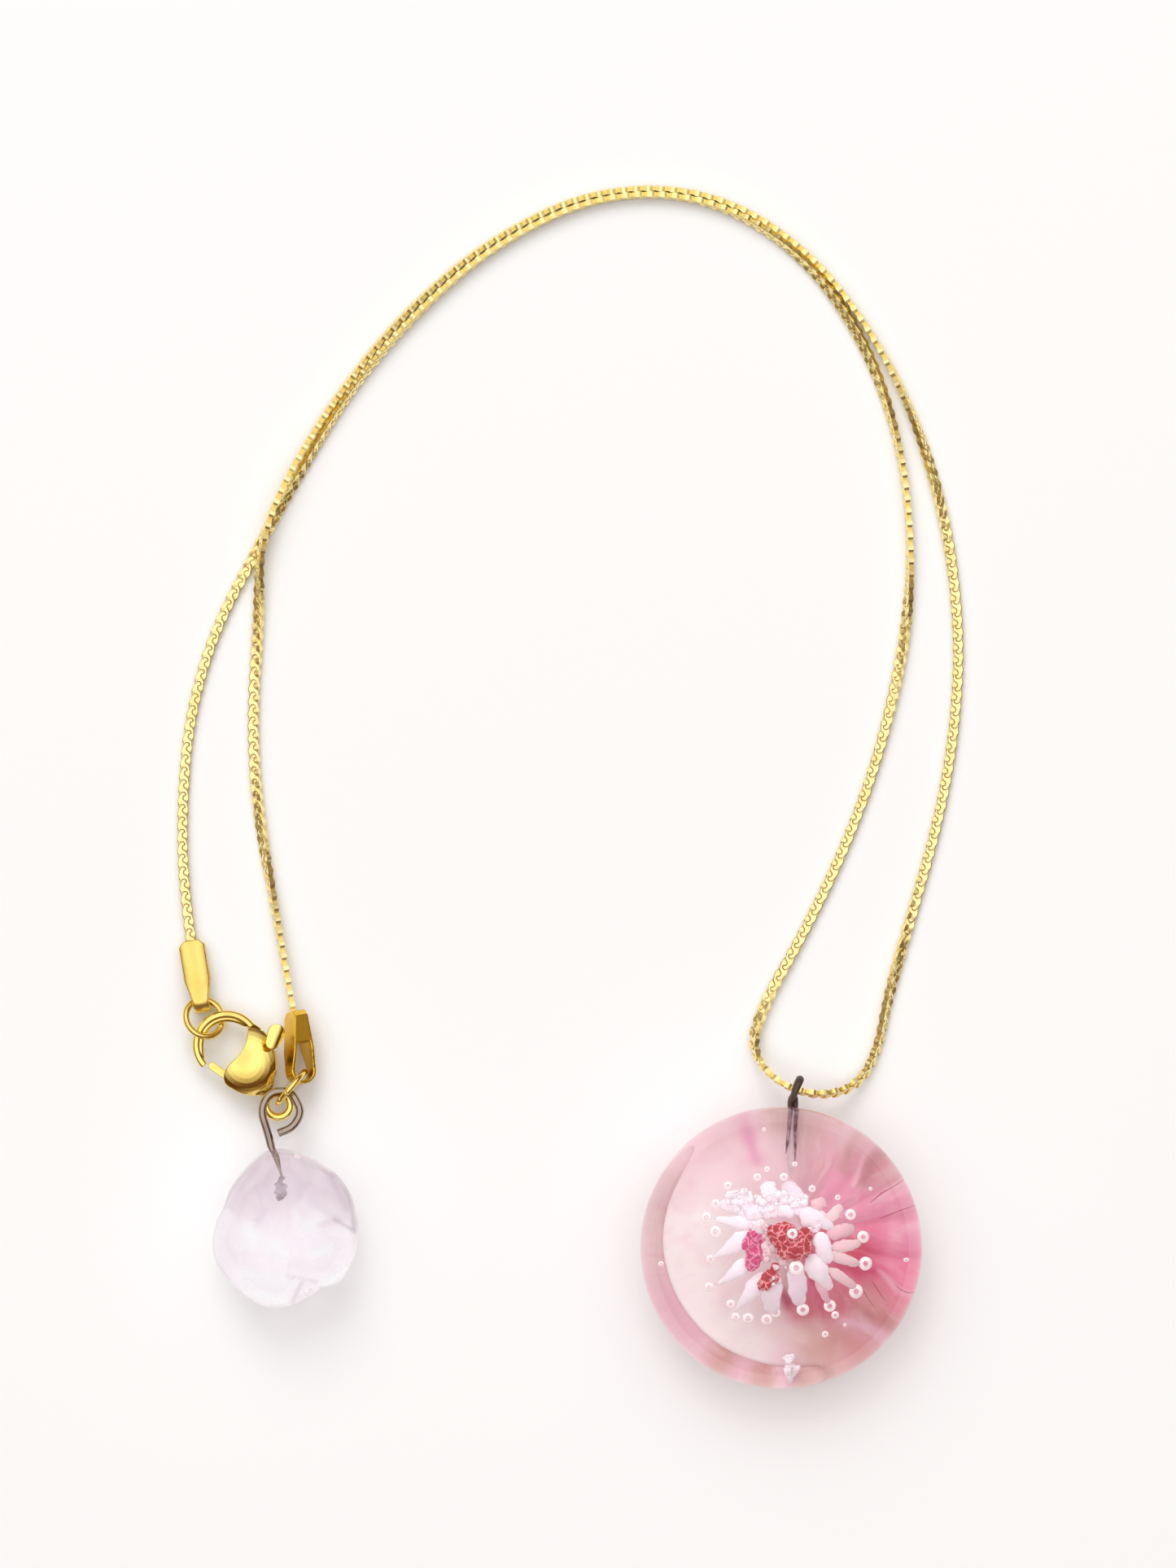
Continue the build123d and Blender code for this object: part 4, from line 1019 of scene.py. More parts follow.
polished_skin = metal_group()
dark_wire = metal(
    "dark_wire", bright=(0.15, 0.115, 0.10), deep=(0.05, 0.035, 0.03), rough=0.38, rough_spread=0.3,
    stain_scale=900.0, skin_scale=2500.0, skin_depth=0.008 * MM,
)
bail = soft_copy("bail_wire", "pendant_bail", dark_wire, 0.05 * MM, 4)
legs = bmesh.new()
legs.from_mesh(bail.data)
sunk = [vertex for vertex in legs.verts if vertex.co.y < LEG_ENTRY]
bmesh.ops.delete(legs, geom=sunk, context="VERTS")
for vertex in legs.verts:
    squeeze = float(np.interp(vertex.co.y / MM, *zip(*LEG_SQUEEZE)))
    vertex.co.x = LEG_LINE + (vertex.co.x - LEG_LINE) * squeeze
for index, leg in ((1, LEGS[0]), (1, LEGS[1]), (2, LEG_FILM)):
    line = [(*behind_dome(x, y, height * MM)[0], radius * MM) for x, y, height, radius in leg]
    for face in tube(legs, line, LEG_SIDES):
        face.material_index = index
legs.to_mesh(bail.data)
legs.free()
sunk_wire, sunk_tree, sunk_shader = new_material("sunk_wire", {"Roughness": 0.3})
sunk_tone = colour_ramp(sunk_tree, object_noise(sunk_tree, 1500.0)["Fac"], SUNK_TONES, curve="EASE")
feed(sunk_tree, sunk_shader, {"Base Color": sunk_tone})
bail.data.materials.append(sunk_wire)
grey_film, film_tree, film_shader = new_material("grey_film", {"Base Color": (0.42, 0.34, 0.38)})
film_share = spread(film_tree, object_noise(film_tree, 700.0)["Fac"], 0.3, 0.7, 0.3)
film_clear = add_node(film_tree, "ShaderNodeBsdfTransparent").outputs[0]
show_mix(film_tree, film_share, film_clear, film_shader.outputs["BSDF"])
bail.data.materials.append(grey_film)
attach(bail, "necklace")
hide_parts("pendant_bail")

# Chain: about 340 flat S links of gold plate, each cut along a hooked groove from the next, so
# that one links into another. The chain is doubled over in an arch and twists where it bends.
LINK_PITCH = 1.15 * MM
LINK_HALF_WIDTH = 0.475 * MM
LINK_THICK = 0.46 * MM
LINK_GROOVE = 0.085 * MM
LINK_RIM = 0.07 * MM
# The groove across a link, from its left edge to its right one: across as a share of the
# half width, and along as a share of the pitch
GROOVE = [
    (0.84, -0.68), (0.55, -0.53), (0.08, -0.41), (-0.08, -0.27), (0.04, -0.10), (0.42, 0.00),
    (0.36, 0.14), (0.05, 0.23), (-0.38, 0.21), (-0.65, 0.09), (-0.84, -0.06),
]
# The bulge of a link's left side between two grooves; its right side is the same, turned round
BULGE_REACH = 1.07
SIDE = [(-0.88, -0.20), (-BULGE_REACH, -0.40), (-BULGE_REACH, -0.62), (-0.88, -0.86)]
SIDE_TURN = -1.74
LINK_AHEAD = 0.7
# Each side is thick at its bulge, and thin where it goes under the next link
# Away from its bulges a side takes a deeper tone, painted shade in the grooves and under the next link
BULGE_THICK = 1.28
NECK_THICK = 0.74
BULGE_SIZE = 0.34
BULGE_FLAT = 1.5
# The chain's route, as in the part's source: x, y and z in mm, and how far the links lie
# turned from flat, in degrees. Past one link, they are all turned half round.
CHAIN_ROUTE = [
    (-54.387, 27.077, 0.625, 0), (-55.3, 33.1, 0.55, 0), (-55.4, 41.1, 0.4, 0), (-54.7, 49.0, 0.4, 0),
    (-52.5, 56.7, 0.4, 0), (-48.9, 63.7, 0.4, 8), (-44.95, 70.8, 0.4, 50), (-40.05, 79.0, 0.4, 62),
    (-33.8, 86.3, 0.4, 75), (-26.3, 92.8, 0.4, 80), (-16.6, 97.4, 0.4, 82), (-6.8, 97.2, 0.4, 80),
    (1.9, 92.2, 0.4, 55), (7.8, 84.1, 0.4, 30), (11.2, 74.3, 0.4, 75), (12.3, 64.1, 0.4, 86),
    (11.5, 55.0, 0.4, 25), (9.2, 45.2, 0.4, 0), (5.7, 35.9, 0.4, 0), (1.5, 27.5, 0.4, 0),
    (-1.4, 22.4, 0.4, 25), (-2.8, 18.3, 1.0, 60), (-0.6, 15.2, 2.95, 85), (3.4, 13.8, 2.95, 70),
    (7.1, 14.6, 1.0, 60), (9.1, 18.0, 0.4, 60), (10.1, 23.3, 0.4, 50), (12.5, 31.5, 0.4, 5),
    (14.8, 39.6, 0.4, 0), (16.2, 47.5, 0.4, 0), (16.7, 55.8, 0.4, 0), (15.8, 65.0, 0.4, 5),
    (13.5, 74.2, 0.4, 55), (9.5, 83.3, 0.4, 80), (2.75, 92.35, 0.4, 85), (-6.3, 97.8, 0.4, 85),
    (-17.0, 98.0, 0.4, 82), (-26.8, 93.3, 0.4, 78), (-34.5, 86.75, 0.4, 72), (-40.65, 79.35, 0.4, 78),
    (-45.65, 71.35, 1.45, 85), (-48.2, 65.0, 1.45, 70), (-48.3, 58.1, 0.4, 30), (-48.9, 49.0, 0.4, 5),
    (-48.5, 40.7, 0.4, 25), (-46.7, 30.4, 0.62, 80), (-44.9, 20.5, 1.45, 80),
]
ROUTE_DETAIL = 24
ON_TABLE = 0.4
LINK_LIFT = 0.04 * MM
TURNED_FROM = 182


def large_faces(shape):
    """The faces of a shape that have more than four corners."""
    return [face for face in shape.faces if len(face.verts) > 4]


def grown_mesh(name, tree, values):
    """The plain mesh that a tree of geometry nodes makes from its named values."""
    host = plain_object(name, bpy.data.meshes.new(name + "_seed"))
    grow = host.modifiers.new("grow", "NODES")
    grow.node_group = tree
    for item in tree.interface.items_tree:
        if item.in_out == "INPUT" and item.name in values:
            grow[item.identifier] = values[item.name]
    ready = host.evaluated_get(bpy.context.evaluated_depsgraph_get())
    made = bpy.data.meshes.new_from_object(ready)
    host.modifiers.remove(grow)
    host.data = made
    made.name = name
    return host


def chain_group():
    """Links set along a route, each turned with its twist, and past one link all half round."""
    wishes = {"Geometry": "Geometry", "Route": "Object", "Link": "Object", "Pitch": "Float"}
    wishes |= {"Turned From": "Int", "Metal": "Material"}
    group, entry, leave = new_group("chain_links", "GeometryNodeTree", wishes, {"Geometry": "Geometry"})
    route, link = [
        add_node(group, "GeometryNodeObjectInfo", {"Object": entry[label]}).outputs["Geometry"]
        for label in ("Route", "Link")
    ]
    level = add_node(group, "GeometryNodeSetCurveNormal", {"Curve": route}, mode="Z_UP").outputs["Curve"]
    spacing = {"Curve": level, "Length": entry["Pitch"]}
    spaced = add_node(group, "GeometryNodeCurveToPoints", spacing, mode="LENGTH").outputs
    axes = {"Primary Axis": spaced["Tangent"], "Secondary Axis": spaced["Normal"]}
    facing = add_node(group, "FunctionNodeAxesToRotation", axes, primary_axis="Y", secondary_axis="X")
    number = add_node(group, "GeometryNodeInputIndex").outputs[0]
    half_turn = maths(group, "MULTIPLY", maths(group, "GREATER_THAN", number, entry["Turned From"]), pi)
    turned = add_node(group, "FunctionNodeAxisAngleToRotation", {"Angle": half_turn}).outputs[0]
    both = {"Rotation": facing.outputs[0], "Rotate By": turned}
    facing = add_node(group, "FunctionNodeRotateRotation", both, rotation_space="LOCAL").outputs[0]
    row = {"Points": spaced["Points"], "Instance": link, "Rotation": facing}
    placed = add_node(group, "GeometryNodeInstanceOnPoints", row).outputs["Instances"]
    real = add_node(group, "GeometryNodeRealizeInstances", {0: placed}).outputs[0]
    clad = add_node(group, "GeometryNodeSetMaterial", {"Geometry": real, "Material": entry["Metal"]})
    feed(group, leave, {0: clad.outputs[0]})
    return group


link_shape = bmesh.new()
outline = GROOVE + SIDE + [(x, y - 1) for x, y in reversed(GROOVE)]
outline += [(-x, SIDE_TURN - y) for x, y in SIDE]
corners = [
    (x * LINK_HALF_WIDTH, (y + LINK_AHEAD) * LINK_PITCH, LINK_THICK / 2 - LINK_RIM / 2) for x, y in outline
]
link_face = link_shape.faces.new([link_shape.verts.new(corner) for corner in corners])
link_face.normal_update()
if link_face.normal.z < 0:
    link_face.normal_flip()
bmesh.ops.inset_region(link_shape, faces=[link_face], thickness=LINK_GROOVE / 2, use_even_offset=True)
bmesh.ops.delete(link_shape, geom=[f for f in link_shape.faces if f is not link_face], context="FACES")
wall = bmesh.ops.extrude_face_region(link_shape, geom=[link_face])
under = [item for item in wall["geom"] if isinstance(item, bmesh.types.BMVert)]
bmesh.ops.translate(link_shape, verts=under, vec=(0, 0, -(LINK_THICK - LINK_RIM)))
bulges = [(x * LINK_HALF_WIDTH, (y + LINK_AHEAD) * LINK_PITCH) for x, y in SIDE[1:3]]
bulges += [(-x * LINK_HALF_WIDTH, (SIDE_TURN + LINK_AHEAD - y) * LINK_PITCH) for x, y in SIDE[1:3]]
link_shape.normal_update()
caps = large_faces(link_shape)
# The groove value is painted shade: it rises from 0 at the bulges to 1 away from them, and is 0 on the flat
# faces
groove_shade_layer = link_shape.verts.layers.float.new("groove")
for vertex in link_shape.verts:
    from_bulge = min(sqrt((vertex.co.x - x) ** 2 + (vertex.co.y - y) ** 2) for x, y in bulges)
    out = min(1.0, abs(vertex.co.x) / LINK_HALF_WIDTH)
    share = max(0.0, 1 - from_bulge / (BULGE_SIZE * LINK_PITCH))
    vertex[groove_shade_layer] = 1 - share
    rise = (BULGE_THICK - NECK_THICK) * min(1.0, BULGE_FLAT * share)
    vertex.co.z *= 1 + out**3 * (NECK_THICK - 1 + rise)
bmesh.ops.recalc_face_normals(link_shape, faces=link_shape.faces)
bmesh.ops.inset_individual(link_shape, faces=caps, thickness=LINK_RIM, depth=LINK_RIM / 2)
caps = large_faces(link_shape)
for face in caps:
    for vertex in face.verts:
        vertex[groove_shade_layer] = 0.0
bmesh.ops.triangulate(link_shape, faces=caps)
for face in link_shape.faces:
    face.smooth = False
link = from_shape("link", link_shape)
route_curve = bpy.data.curves.new("chain_route", "CURVE")
route_curve.dimensions = "3D"
route_curve.resolution_u = ROUTE_DETAIL
route = route_curve.splines.new("NURBS")
route.points.add(len(CHAIN_ROUTE) - 1)
for point, (x, y, z, twist) in zip(route.points, CHAIN_ROUTE):
    height = z * MM
    turn = radians(twist)
    if z == ON_TABLE:
        height = LINK_LIFT + LINK_HALF_WIDTH * BULGE_REACH * sin(turn)
        height += LINK_THICK / 2 * BULGE_THICK * cos(turn)
    point.co = (x * MM, y * MM, height, 1)
    point.tilt = turn
route.order_u = 3
route.use_endpoint_u = True
route_object = plain_object("chain_route", route_curve)
chain_gold = metal(
    "chain_gold", bright=(1.0, 0.86, 0.40), deep=(0.84, 0.60, 0.13), rough=0.24, rough_spread=0.12,
    stain_scale=700.0, skin_scale=3000.0, skin_depth=0.004 * MM, shade_name="groove",
)
chain_values = {"Route": route_object, "Link": link, "Pitch": LINK_PITCH, "Turned From": TURNED_FROM}
chain_values["Metal"] = chain_gold
chain_links = grown_mesh("chain_links", chain_group(), chain_values)
bpy.data.objects.remove(route_object)
bpy.data.objects.remove(link)
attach(chain_links, "necklace")
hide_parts("chain")

# End caps: each a strip of gold sheet folded under itself and closed on the chain's end. The sheet
# was brushed before it was bent, so it has a satin grain along its length.
cap_gold = metal(
    "cap_gold", bright=(0.90, 0.68, 0.19), deep=(0.62, 0.33, 0.03), rough=0.18, rough_spread=0.14,
    stain_scale=260.0, skin_scale=1500.0, skin_depth=0.004 * MM,
)
# The right cap is a darker, deeper-toned copy of the same gold: painted shade.
shaded_cap_gold = metal(
    "shaded_cap_gold", bright=(0.86, 0.54, 0.055), deep=(0.50, 0.21, 0.008), rough=0.17, rough_spread=0.14,
    stain_scale=300.0, skin_scale=1800.0, skin_depth=0.006 * MM,
)
# The left cap's leaf was pressed a little round across its width; the heights it starts from and
# is whole above by are in mm
CROWN_MIDDLE = Vector((-54.387, 27.077, 0)) * MM
CROWN_ACROSS = Vector((0.985, 0.172, 0))
CROWN_HALF = 1.2 * MM
CROWN_FALL = 0.30 * MM
CROWN_FROM = 0.9
CROWN_GROWTH = 0.5
for name, node, finish in (
    ("cap_left", "end_cap_left", cap_gold), ("cap_right", "end_cap_right", shaded_cap_gold),
):
    cap = soft_copy(name, node, finish, 0.06 * MM, 5)
    if name == "cap_left":
        for vertex in cap.data.vertices:
            off = (vertex.co - CROWN_MIDDLE).dot(CROWN_ACROSS) / CROWN_HALF
            top = min(1.0, max(0.0, (vertex.co.z / MM - CROWN_FROM) / CROWN_GROWTH))
            vertex.co.z -= CROWN_FALL * off**2 * top
    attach(cap, "necklace")
    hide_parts(node)

# Jump rings: two rings of round gold wire, each cut once, that join the caps to the clasp. They
# were closed with pliers, so their ends nearly meet.
ring_gold = metal(
    "ring_gold", bright=(0.97, 0.74, 0.20), deep=(0.60, 0.30, 0.02), rough=0.12, rough_spread=0.12,
    stain_scale=500.0, skin_scale=2500.0, skin_depth=0.004 * MM,
)
for name, node in (("ring_left", "jump_ring_left"), ("ring_right", "jump_ring_right")):
    ring = soft_copy(name, node, ring_gold, 0.035 * MM, 4)
    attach(ring, "necklace")
    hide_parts(node)

# Clasp: a lobster clasp cast in one with its hook, tail and eye, plated and polished bright, with
# a sprung lever on a pin that closes the hook and ends in a flat thumb tab.
clasp_gold = metal(
    "clasp_gold", bright=(1.0, 0.80, 0.24), deep=(0.66, 0.34, 0.02), rough=0.07, rough_spread=0.10,
    stain_scale=350.0, skin_scale=1500.0, skin_depth=0.006 * MM,
)
CLASP_MIDDLE = Vector((-51.2, 18.55, 1.7)) * MM
CLASP_AIM = radians(-49.5)
# The hook's flat inner bevel: turns in degrees from the clasp's own axis, the radius of its middle
# there in mm, its half width and its half thickness
HOOK_BEVEL = [
    (84, 2.75, 0.20, 0.20), (100, 2.60, 0.36, 0.24), (120, 2.55, 0.42, 0.25), (150, 2.53, 0.43, 0.25),
    (180, 2.53, 0.43, 0.25), (210, 2.53, 0.43, 0.25), (240, 2.56, 0.40, 0.25), (258, 2.64, 0.30, 0.24),
    (268, 2.75, 0.18, 0.20),
]
BEVEL_STEPS = 6
BEVEL_SIDES = 14
# The thumb tab is rounded off across its length, like a finger's tip; its underside stays flat
TAB_MIDDLE = Vector((-47.0, 19.3)) * MM
TAB_ACROSS = Vector((0.93, -0.36))
TAB_HALF = 0.8 * MM
TAB_REACH = 1.3
TAB_FALL = 0.24 * MM
TAB_FOOT = 3.5 * MM


def add_hook_bevel(shape):
    """The inner flat of the hook, as a closed band that overlaps the hook's round wire."""
    rows = []
    for low, high in zip(HOOK_BEVEL, HOOK_BEVEL[1:]):
        steps = BEVEL_STEPS if high is not HOOK_BEVEL[-1] else BEVEL_STEPS + 1
        for step in range(steps):
            share = step / BEVEL_STEPS
            turn, radius, half_width, half_thick = (a + (b - a) * share for a, b in zip(low, high))
            heading = CLASP_AIM + radians(turn)
            out = Vector((cos(heading), sin(heading), 0))
            row = []
            for corner in turns_round(BEVEL_SIDES):
                reach = (radius + half_width * cos(corner)) * MM
                rise = half_thick * sin(corner) * MM
                row.append(shape.verts.new(CLASP_MIDDLE + out * reach + Vector((0, 0, rise))))
            rows.append(row)
    shape.faces.new(rows[0])
    shape.faces.new(list(reversed(rows[-1])))
    for low, high in zip(rows, rows[1:]):
        for side in range(BEVEL_SIDES):
            after = (side + 1) % BEVEL_SIDES
            shape.faces.new((low[side], high[side], high[after], low[after]))
    bmesh.ops.recalc_face_normals(shape, faces=shape.faces)


for name, node, body, add_more in (
    ("clasp", "clasp_body", "necklace", add_hook_bevel), ("lever", "clasp_lever", "lever", None),
):
    cast = soft_copy(name, node, clasp_gold, 0.055 * MM, 6, add_more)
    if name == "lever":
        for vertex in cast.data.vertices:
            off = (vertex.co.xy - TAB_MIDDLE).dot(TAB_ACROSS) / TAB_HALF
            if vertex.co.z > TAB_FOOT and abs(off) < TAB_REACH:
                vertex.co.z -= TAB_FALL * off**2
    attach(cast, body)
    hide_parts(node)

# Drop hook: bare grey wire bent into an open crook over the ring, with its other end melted into
# the drop. It is brown where it was heated.
hook_wire = metal(
    "hook_wire", bright=(0.40, 0.32, 0.27), deep=(0.10, 0.05, 0.04), rough=0.10, rough_spread=0.12,
    stain_scale=420.0, skin_scale=2500.0, skin_depth=0.005 * MM,
)
# Inside the drop the wire is drawn out to a point: from its entry to its end, in mm. Only the wire
# left of a line is in the drop.
CROOK_ENTRY = Vector((-46.98, 9.25, 3.66)) * MM
CROOK_END = Vector((-46.30, 4.42, 4.74)) * MM
CROOK_NEW_END = Vector((-45.95, 6.10, 5.2)) * MM
CROOK_LINE = -45.4 * MM
CROOK_THINNER = 0.75
CROOK_GROWTH = 1.2
drop_crook = soft_copy("drop_crook", "drop_hook", hook_wire, 0.045 * MM, 4)
for vertex in drop_crook.data.vertices:
    share = (CROOK_ENTRY.y - vertex.co.y) / (CROOK_ENTRY.y - CROOK_END.y)
    if share > 0 and vertex.co.x < CROOK_LINE:
        axis = CROOK_ENTRY.lerp(CROOK_END, share)
        thinner = 1 - CROOK_THINNER * min(1.0, share * CROOK_GROWTH)
        vertex.co = CROOK_ENTRY.lerp(CROOK_NEW_END, share) + (vertex.co - axis) * thinner
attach(drop_crook, "necklace")
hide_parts("drop_hook")

# Drop: a small puddle of clear lilac glass that was pressed into soft lobes, hazy below, with
# faint swirls in it and dark crumbs of scale round the wire's end. Its outline is drawn.
# The haze below is partly the glass's own swirls and partly painted light, a glow that thickens towards the
# foot.
DROP_PIXEL = (350, 1508)
DROP_OUTLINE = [
    (441, 1520), (440, 1500), (437, 1480), (432, 1465), (425, 1453), (415, 1441), (400, 1431), (385, 1422),
    (368, 1414), (350, 1410), (338, 1409), (325, 1414), (312, 1425), (300, 1437), (290, 1450), (278, 1480),
    (269, 1495), (265, 1510), (263, 1530), (267, 1550), (278, 1566), (287, 1574), (305, 1590), (318, 1599),
    (335, 1605), (350, 1604), (365, 1599), (379, 1592), (390, 1585), (396, 1578), (410, 1577), (422, 1571),
    (430, 1555), (438, 1540),
]
OUTLINE_SHIFTS = (-0.06, -0.03, 0, 0.03, 0.06)
# Where the lobes meet: degrees round the middle, how deep in mm and how wide in degrees
DROP_VALLEYS = [(-71, 2.3, 8), (4, 1.7, 7), (57, 0.9, 9), (-152, 0.8, 12), (118, 0.7, 12)]
VALLEY_FROM = 0.35
DROP_TALL = 8.3 * MM
DROP_WAIST = 0.36
DROP_SIDES = 180
DROP_ROWS = 44
DROP_ROUND = 0.62
DROP_UNEVEN = 0.45 * MM
DROP_UNEVEN_SCALE = 260
# Painted light in the drop, as brush strokes: the mauve ones are painted shade, mostly towards its top and
# rim, the white ones painted highlights, and all thicken its haze. Each: the pixels they run between, half
# width in pixels, colour and strength
SHADE_MAUVE = (0.60, 0.46, 0.54)
PALE_SHADE_MAUVE = (0.78, 0.66, 0.74)
HIGHLIGHT_WHITE = (1.0, 1.0, 1.0)
DROP_STROKES = [
    (336, 1456, 400, 1456, 17, PALE_SHADE_MAUVE, 0.55), (320, 1428, 300, 1455, 6, SHADE_MAUVE, 0.45),
    (372, 1422, 408, 1440, 4, SHADE_MAUVE, 0.5), (410, 1444, 430, 1480, 7, SHADE_MAUVE, 0.7),
    (432, 1470, 438, 1510, 3, SHADE_MAUVE, 0.5), (385, 1470, 415, 1490, 5, PALE_SHADE_MAUVE, 0.6),
    (414, 1493, 438, 1510, 2.5, (0.45, 0.36, 0.44), 0.6), (330, 1480, 322, 1500, 4, PALE_SHADE_MAUVE, 0.5),
    (313, 1508, 318, 1524, 8, HIGHLIGHT_WHITE, 0.9), (336, 1528, 352, 1536, 9, HIGHLIGHT_WHITE, 0.9),
    (374, 1508, 392, 1500, 8, HIGHLIGHT_WHITE, 0.8), (388, 1536, 405, 1528, 8, HIGHLIGHT_WHITE, 0.7),
    (365, 1482, 372, 1498, 4, HIGHLIGHT_WHITE, 0.8), (300, 1560, 352, 1562, 9, HIGHLIGHT_WHITE, 0.75),
    (402, 1574, 428, 1555, 5, HIGHLIGHT_WHITE, 0.95), (306, 1584, 352, 1592, 5, HIGHLIGHT_WHITE, 0.9),
    (374, 1570, 362, 1596, 3, SHADE_MAUVE, 0.55), (358, 1562, 392, 1570, 2.5, SHADE_MAUVE, 0.45),
    (268, 1508, 266, 1545, 5, HIGHLIGHT_WHITE, 0.6), (284, 1450, 272, 1485, 4, PALE_SHADE_MAUVE, 0.5),
]
# The drop's tint from its foot in the photo to its top
# It is darker towards the top and paler at the foot: painted shade.
DROP_TINT_AND_SHADE = [
    (0, (0.99, 0.95, 0.98)), (0.45, (0.97, 0.915, 0.955)), (0.8, (0.89, 0.81, 0.85)),
    (1, (0.92, 0.85, 0.88)),
]
HAZE_COLOUR = (0.97, 0.92, 0.955)
TINT_FOOT, TINT_TOP = -4.0 * MM, 7.0 * MM
# The haze: its swirls (scale, detail, twist), its share at the foot, how it falls off upwards, how
# much the swirls and the strokes add, and how much of it glows
# The haze's glow is painted light, and so is its extra share at the foot and under the strokes; its swirls
# are the glass's own.
SWIRLS = (190.0, 3.0, 2.2)
HAZE_FOOT = 0.30
HAZE_FALL = -0.26
HAZE_SWIRL = 0.5
HAZE_STROKE = 0.5
HAZE_GLOW = 0.8


def drop_reach(turn):
    """How far the drop's outline lies from its middle, in metres, in a direction."""
    spots = []
    for x, y in DROP_OUTLINE:
        out = ((x - DROP_PIXEL[0]) * PIXEL, (DROP_PIXEL[1] - y) * PIXEL)
        spots.append((atan2(out[1], out[0]) % tau, sqrt(out[0] ** 2 + out[1] ** 2)))
    spots.sort()
    turns, reaches = zip((spots[-1][0] - tau, spots[-1][1]), *spots, (spots[0][0] + tau, spots[0][1]))
    near = [np.interp((turn + shift) % tau, turns, reaches) for shift in OUTLINE_SHIFTS]
    return float(sum(near) / len(near))


def drop_point(turn, reach, lean):
    """A point of the drop's skin in a direction, at a lean from its foot to its top."""
    out_share = cos(lean) ** DROP_ROUND
    tall = DROP_TALL
    for middle, deep, wide in DROP_VALLEYS:
        apart = (turn - radians(middle) + pi) % tau - pi
        valley = bell(apart, radians(wide))
        tall -= deep * MM * valley * max(0.0, out_share - VALLEY_FROM) / (1 - VALLEY_FROM)
    waist = DROP_WAIST * tall
    height = waist + (tall - waist if lean > 0 else waist) * sin(lean)
    out = reach * out_share
    place = drop_middle + Vector((out * cos(turn), out * sin(turn), height))
    if lean > 0:
        place.z += DROP_UNEVEN * noise.noise(place * DROP_UNEVEN_SCALE) * sin(lean) ** 0.5
    return place


drop_middle = from_photo(*DROP_PIXEL)
drop_sides = [(turn, drop_reach(turn)) for turn in turns_round(DROP_SIDES)]
drop_shape = bmesh.new()
drop_rows = []
for level in range(1, DROP_ROWS):
    lean = -pi / 2 + pi * level / DROP_ROWS
    drop_rows.append([drop_shape.verts.new(drop_point(turn, reach, lean)) for turn, reach in drop_sides])
drop_foot = drop_shape.verts.new(drop_middle)
drop_top = drop_shape.verts.new(drop_middle + Vector((0, 0, DROP_TALL)))
closed_rings(drop_shape, drop_foot, drop_rows, drop_top)
drop = from_shape("drop", drop_shape)
drop_strokes = []
for x, y, to_x, to_y, half_width, tone, strength in DROP_STROKES:
    drop_strokes.append((from_photo(x, y).xy, from_photo(to_x, to_y).xy, half_width * PIXEL, tone, strength))
paint(drop.data, drop_strokes)
drop_clear, drop_tree, drop_shader, drop_shown = glass_material(
    "drop_clear", (0.97, 0.93, 0.955), (0.95, 0.92, 0.94), 0.12, 240.0
)
drop_place = add_node(drop_tree, "ShaderNodeTexCoord").outputs["Object"]
drop_up = add_node(drop_tree, "ShaderNodeSeparateXYZ", {0: drop_place}).outputs["Y"]
drop_up = spread(drop_tree, drop_up, TINT_FOOT, TINT_TOP, 1.0)
drop_colour = painted(drop_tree, colour_ramp(drop_tree, drop_up, DROP_TINT_AND_SHADE, curve="EASE"))
feed(drop_tree, drop_shader, {"Base Color": drop_colour})
drop_veil = spread(drop_tree, object_noise(drop_tree, *SWIRLS)["Fac"], 0.40, 0.68, 0.5)
drop_haze = maths(drop_tree, "MULTIPLY_ADD", drop_up, HAZE_FALL, HAZE_FOOT)
drop_haze = maths(drop_tree, "MULTIPLY_ADD", drop_veil, HAZE_SWIRL, drop_haze)
stroke_cover = attribute(drop_tree, "cover")["Fac"]
drop_haze = maths(drop_tree, "MULTIPLY_ADD", stroke_cover, HAZE_STROKE, drop_haze, use_clamp=True)
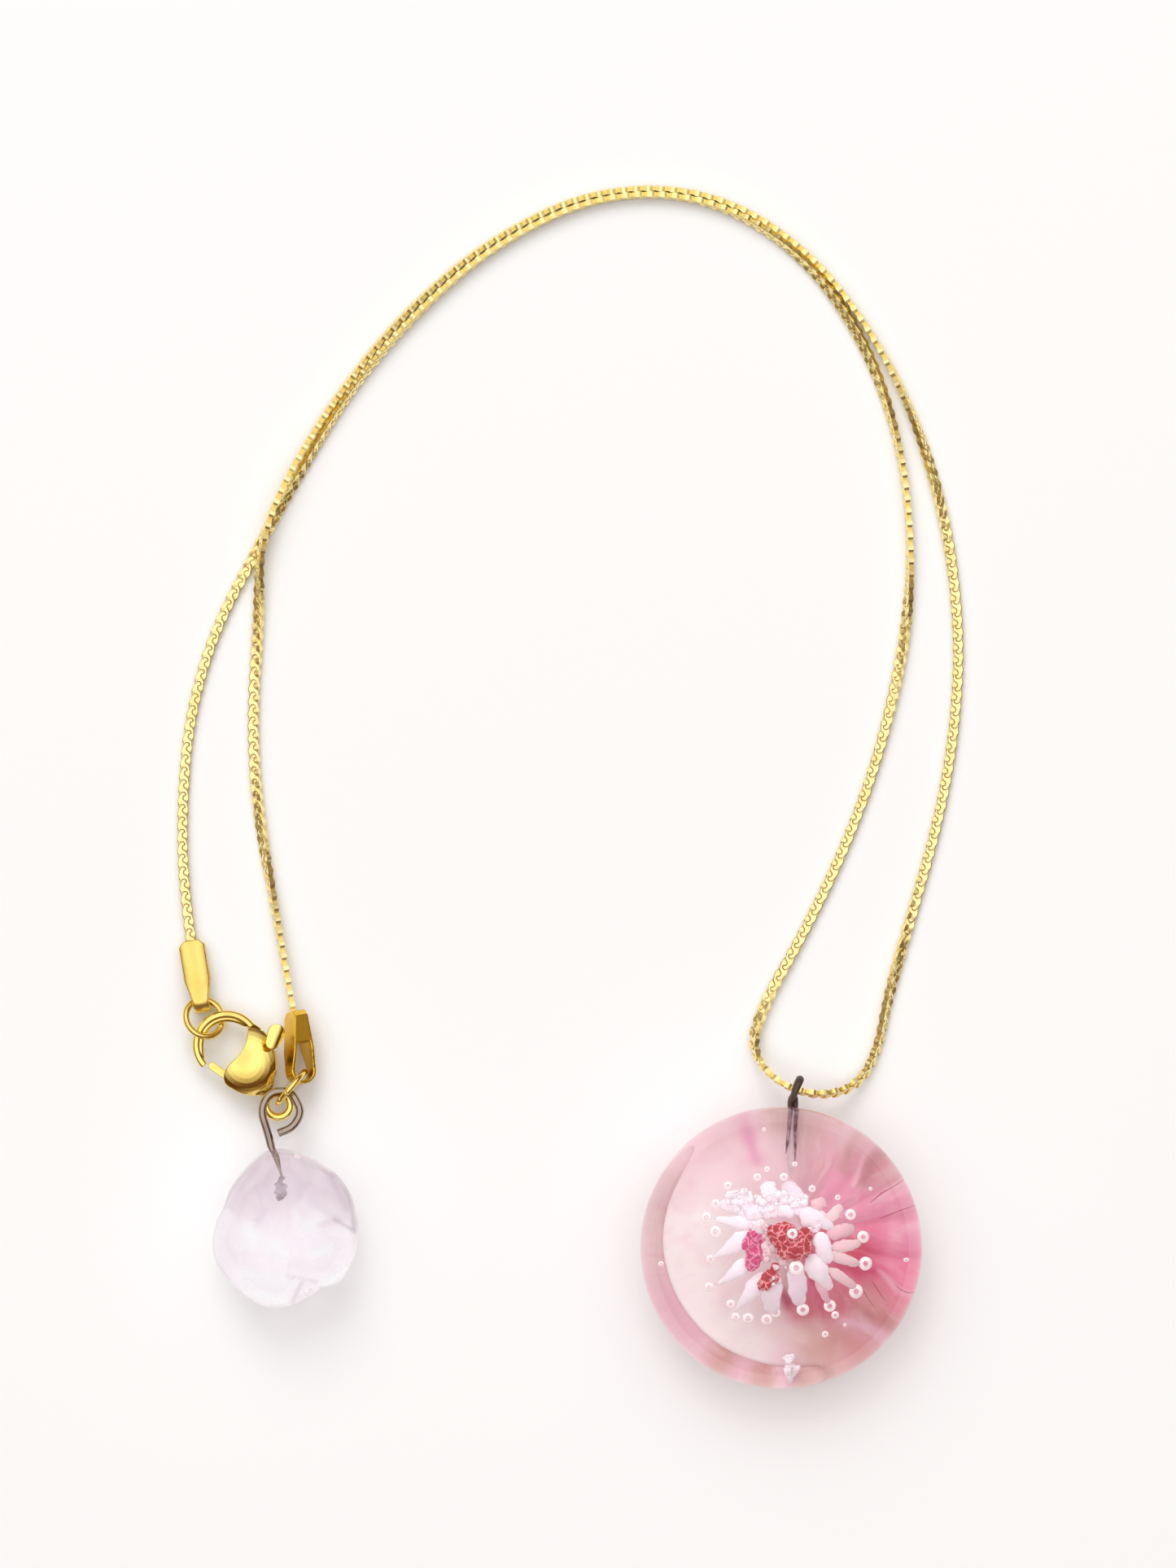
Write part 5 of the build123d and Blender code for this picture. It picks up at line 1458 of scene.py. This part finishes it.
# The haze is milky glass that glows with the drop's colour: painted light.
milky = add_node(drop_tree, "ShaderNodeBsdfTranslucent", {"Color": HAZE_COLOUR}).outputs[0]
painted_glow = add_node(drop_tree, "ShaderNodeEmission", {"Color": drop_colour, "Strength": 1.0}).outputs[0]
cloudy = add_node(drop_tree, "ShaderNodeMixShader", {"Fac": HAZE_GLOW, 1: milky, 2: painted_glow}).outputs[0]
show_mix(drop_tree, drop_haze, drop_shown, cloudy)
drop.data.materials.append(drop_clear)
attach(drop, "necklace")
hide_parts("drop_glass")

# Scale: grey and purple crumbs that came off the hot wire and stayed round its end in the drop.
# Each crumb: its pixel, its height in mm and its radius in mm.
SCALE_CRUMBS = [
    (349, 1452, 4.6, 0.20), (348, 1457, 4.6, 0.24), (350, 1460, 4.7, 0.26), (347, 1464, 4.5, 0.22),
    (350, 1466, 4.6, 0.26), (348, 1469, 4.5, 0.24), (351, 1462, 4.7, 0.18),
]
SCALE_SQUASH = 0.8
SCALE_DENT = 0.9
SCALE_DENT_SCALE = 5000
scale_shape = bmesh.new()
for x, y, height, radius in SCALE_CRUMBS:
    centre = from_photo(x, y, height * MM)
    for vertex in add_ball(scale_shape, centre, radius * MM, BUBBLE_DETAIL, SCALE_SQUASH):
        vertex.co += (vertex.co - centre) * SCALE_DENT * noise.noise(vertex.co * SCALE_DENT_SCALE)
wire_scale = from_shape("wire_scale", scale_shape)
wire_scale.data.materials.append(sunk_wire)
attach(wire_scale, "necklace")

# Drop bubbles: small hollows of air that stayed in the drop when it was pressed, with the same
# painted bright rims as those in the pendant, painted reflections. Each: its pixel, its height in mm and its
# radius in mm.
DROP_BUBBLES = [
    (367, 1421, 4.4, 0.30), (293, 1568, 3.0, 0.34), (301, 1520, 4.6, 0.12), (406, 1565, 2.6, 0.12),
]
air_shape = bmesh.new()
for x, y, height, radius in DROP_BUBBLES:
    add_ball(air_shape, from_photo(x, y, height * MM), radius * MM, BUBBLE_DETAIL)
drop_bubbles = from_shape("drop_bubbles", air_shape)
drop_bubbles.data.materials.append(bubble_painted_rim)
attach(drop_bubbles, "necklace")
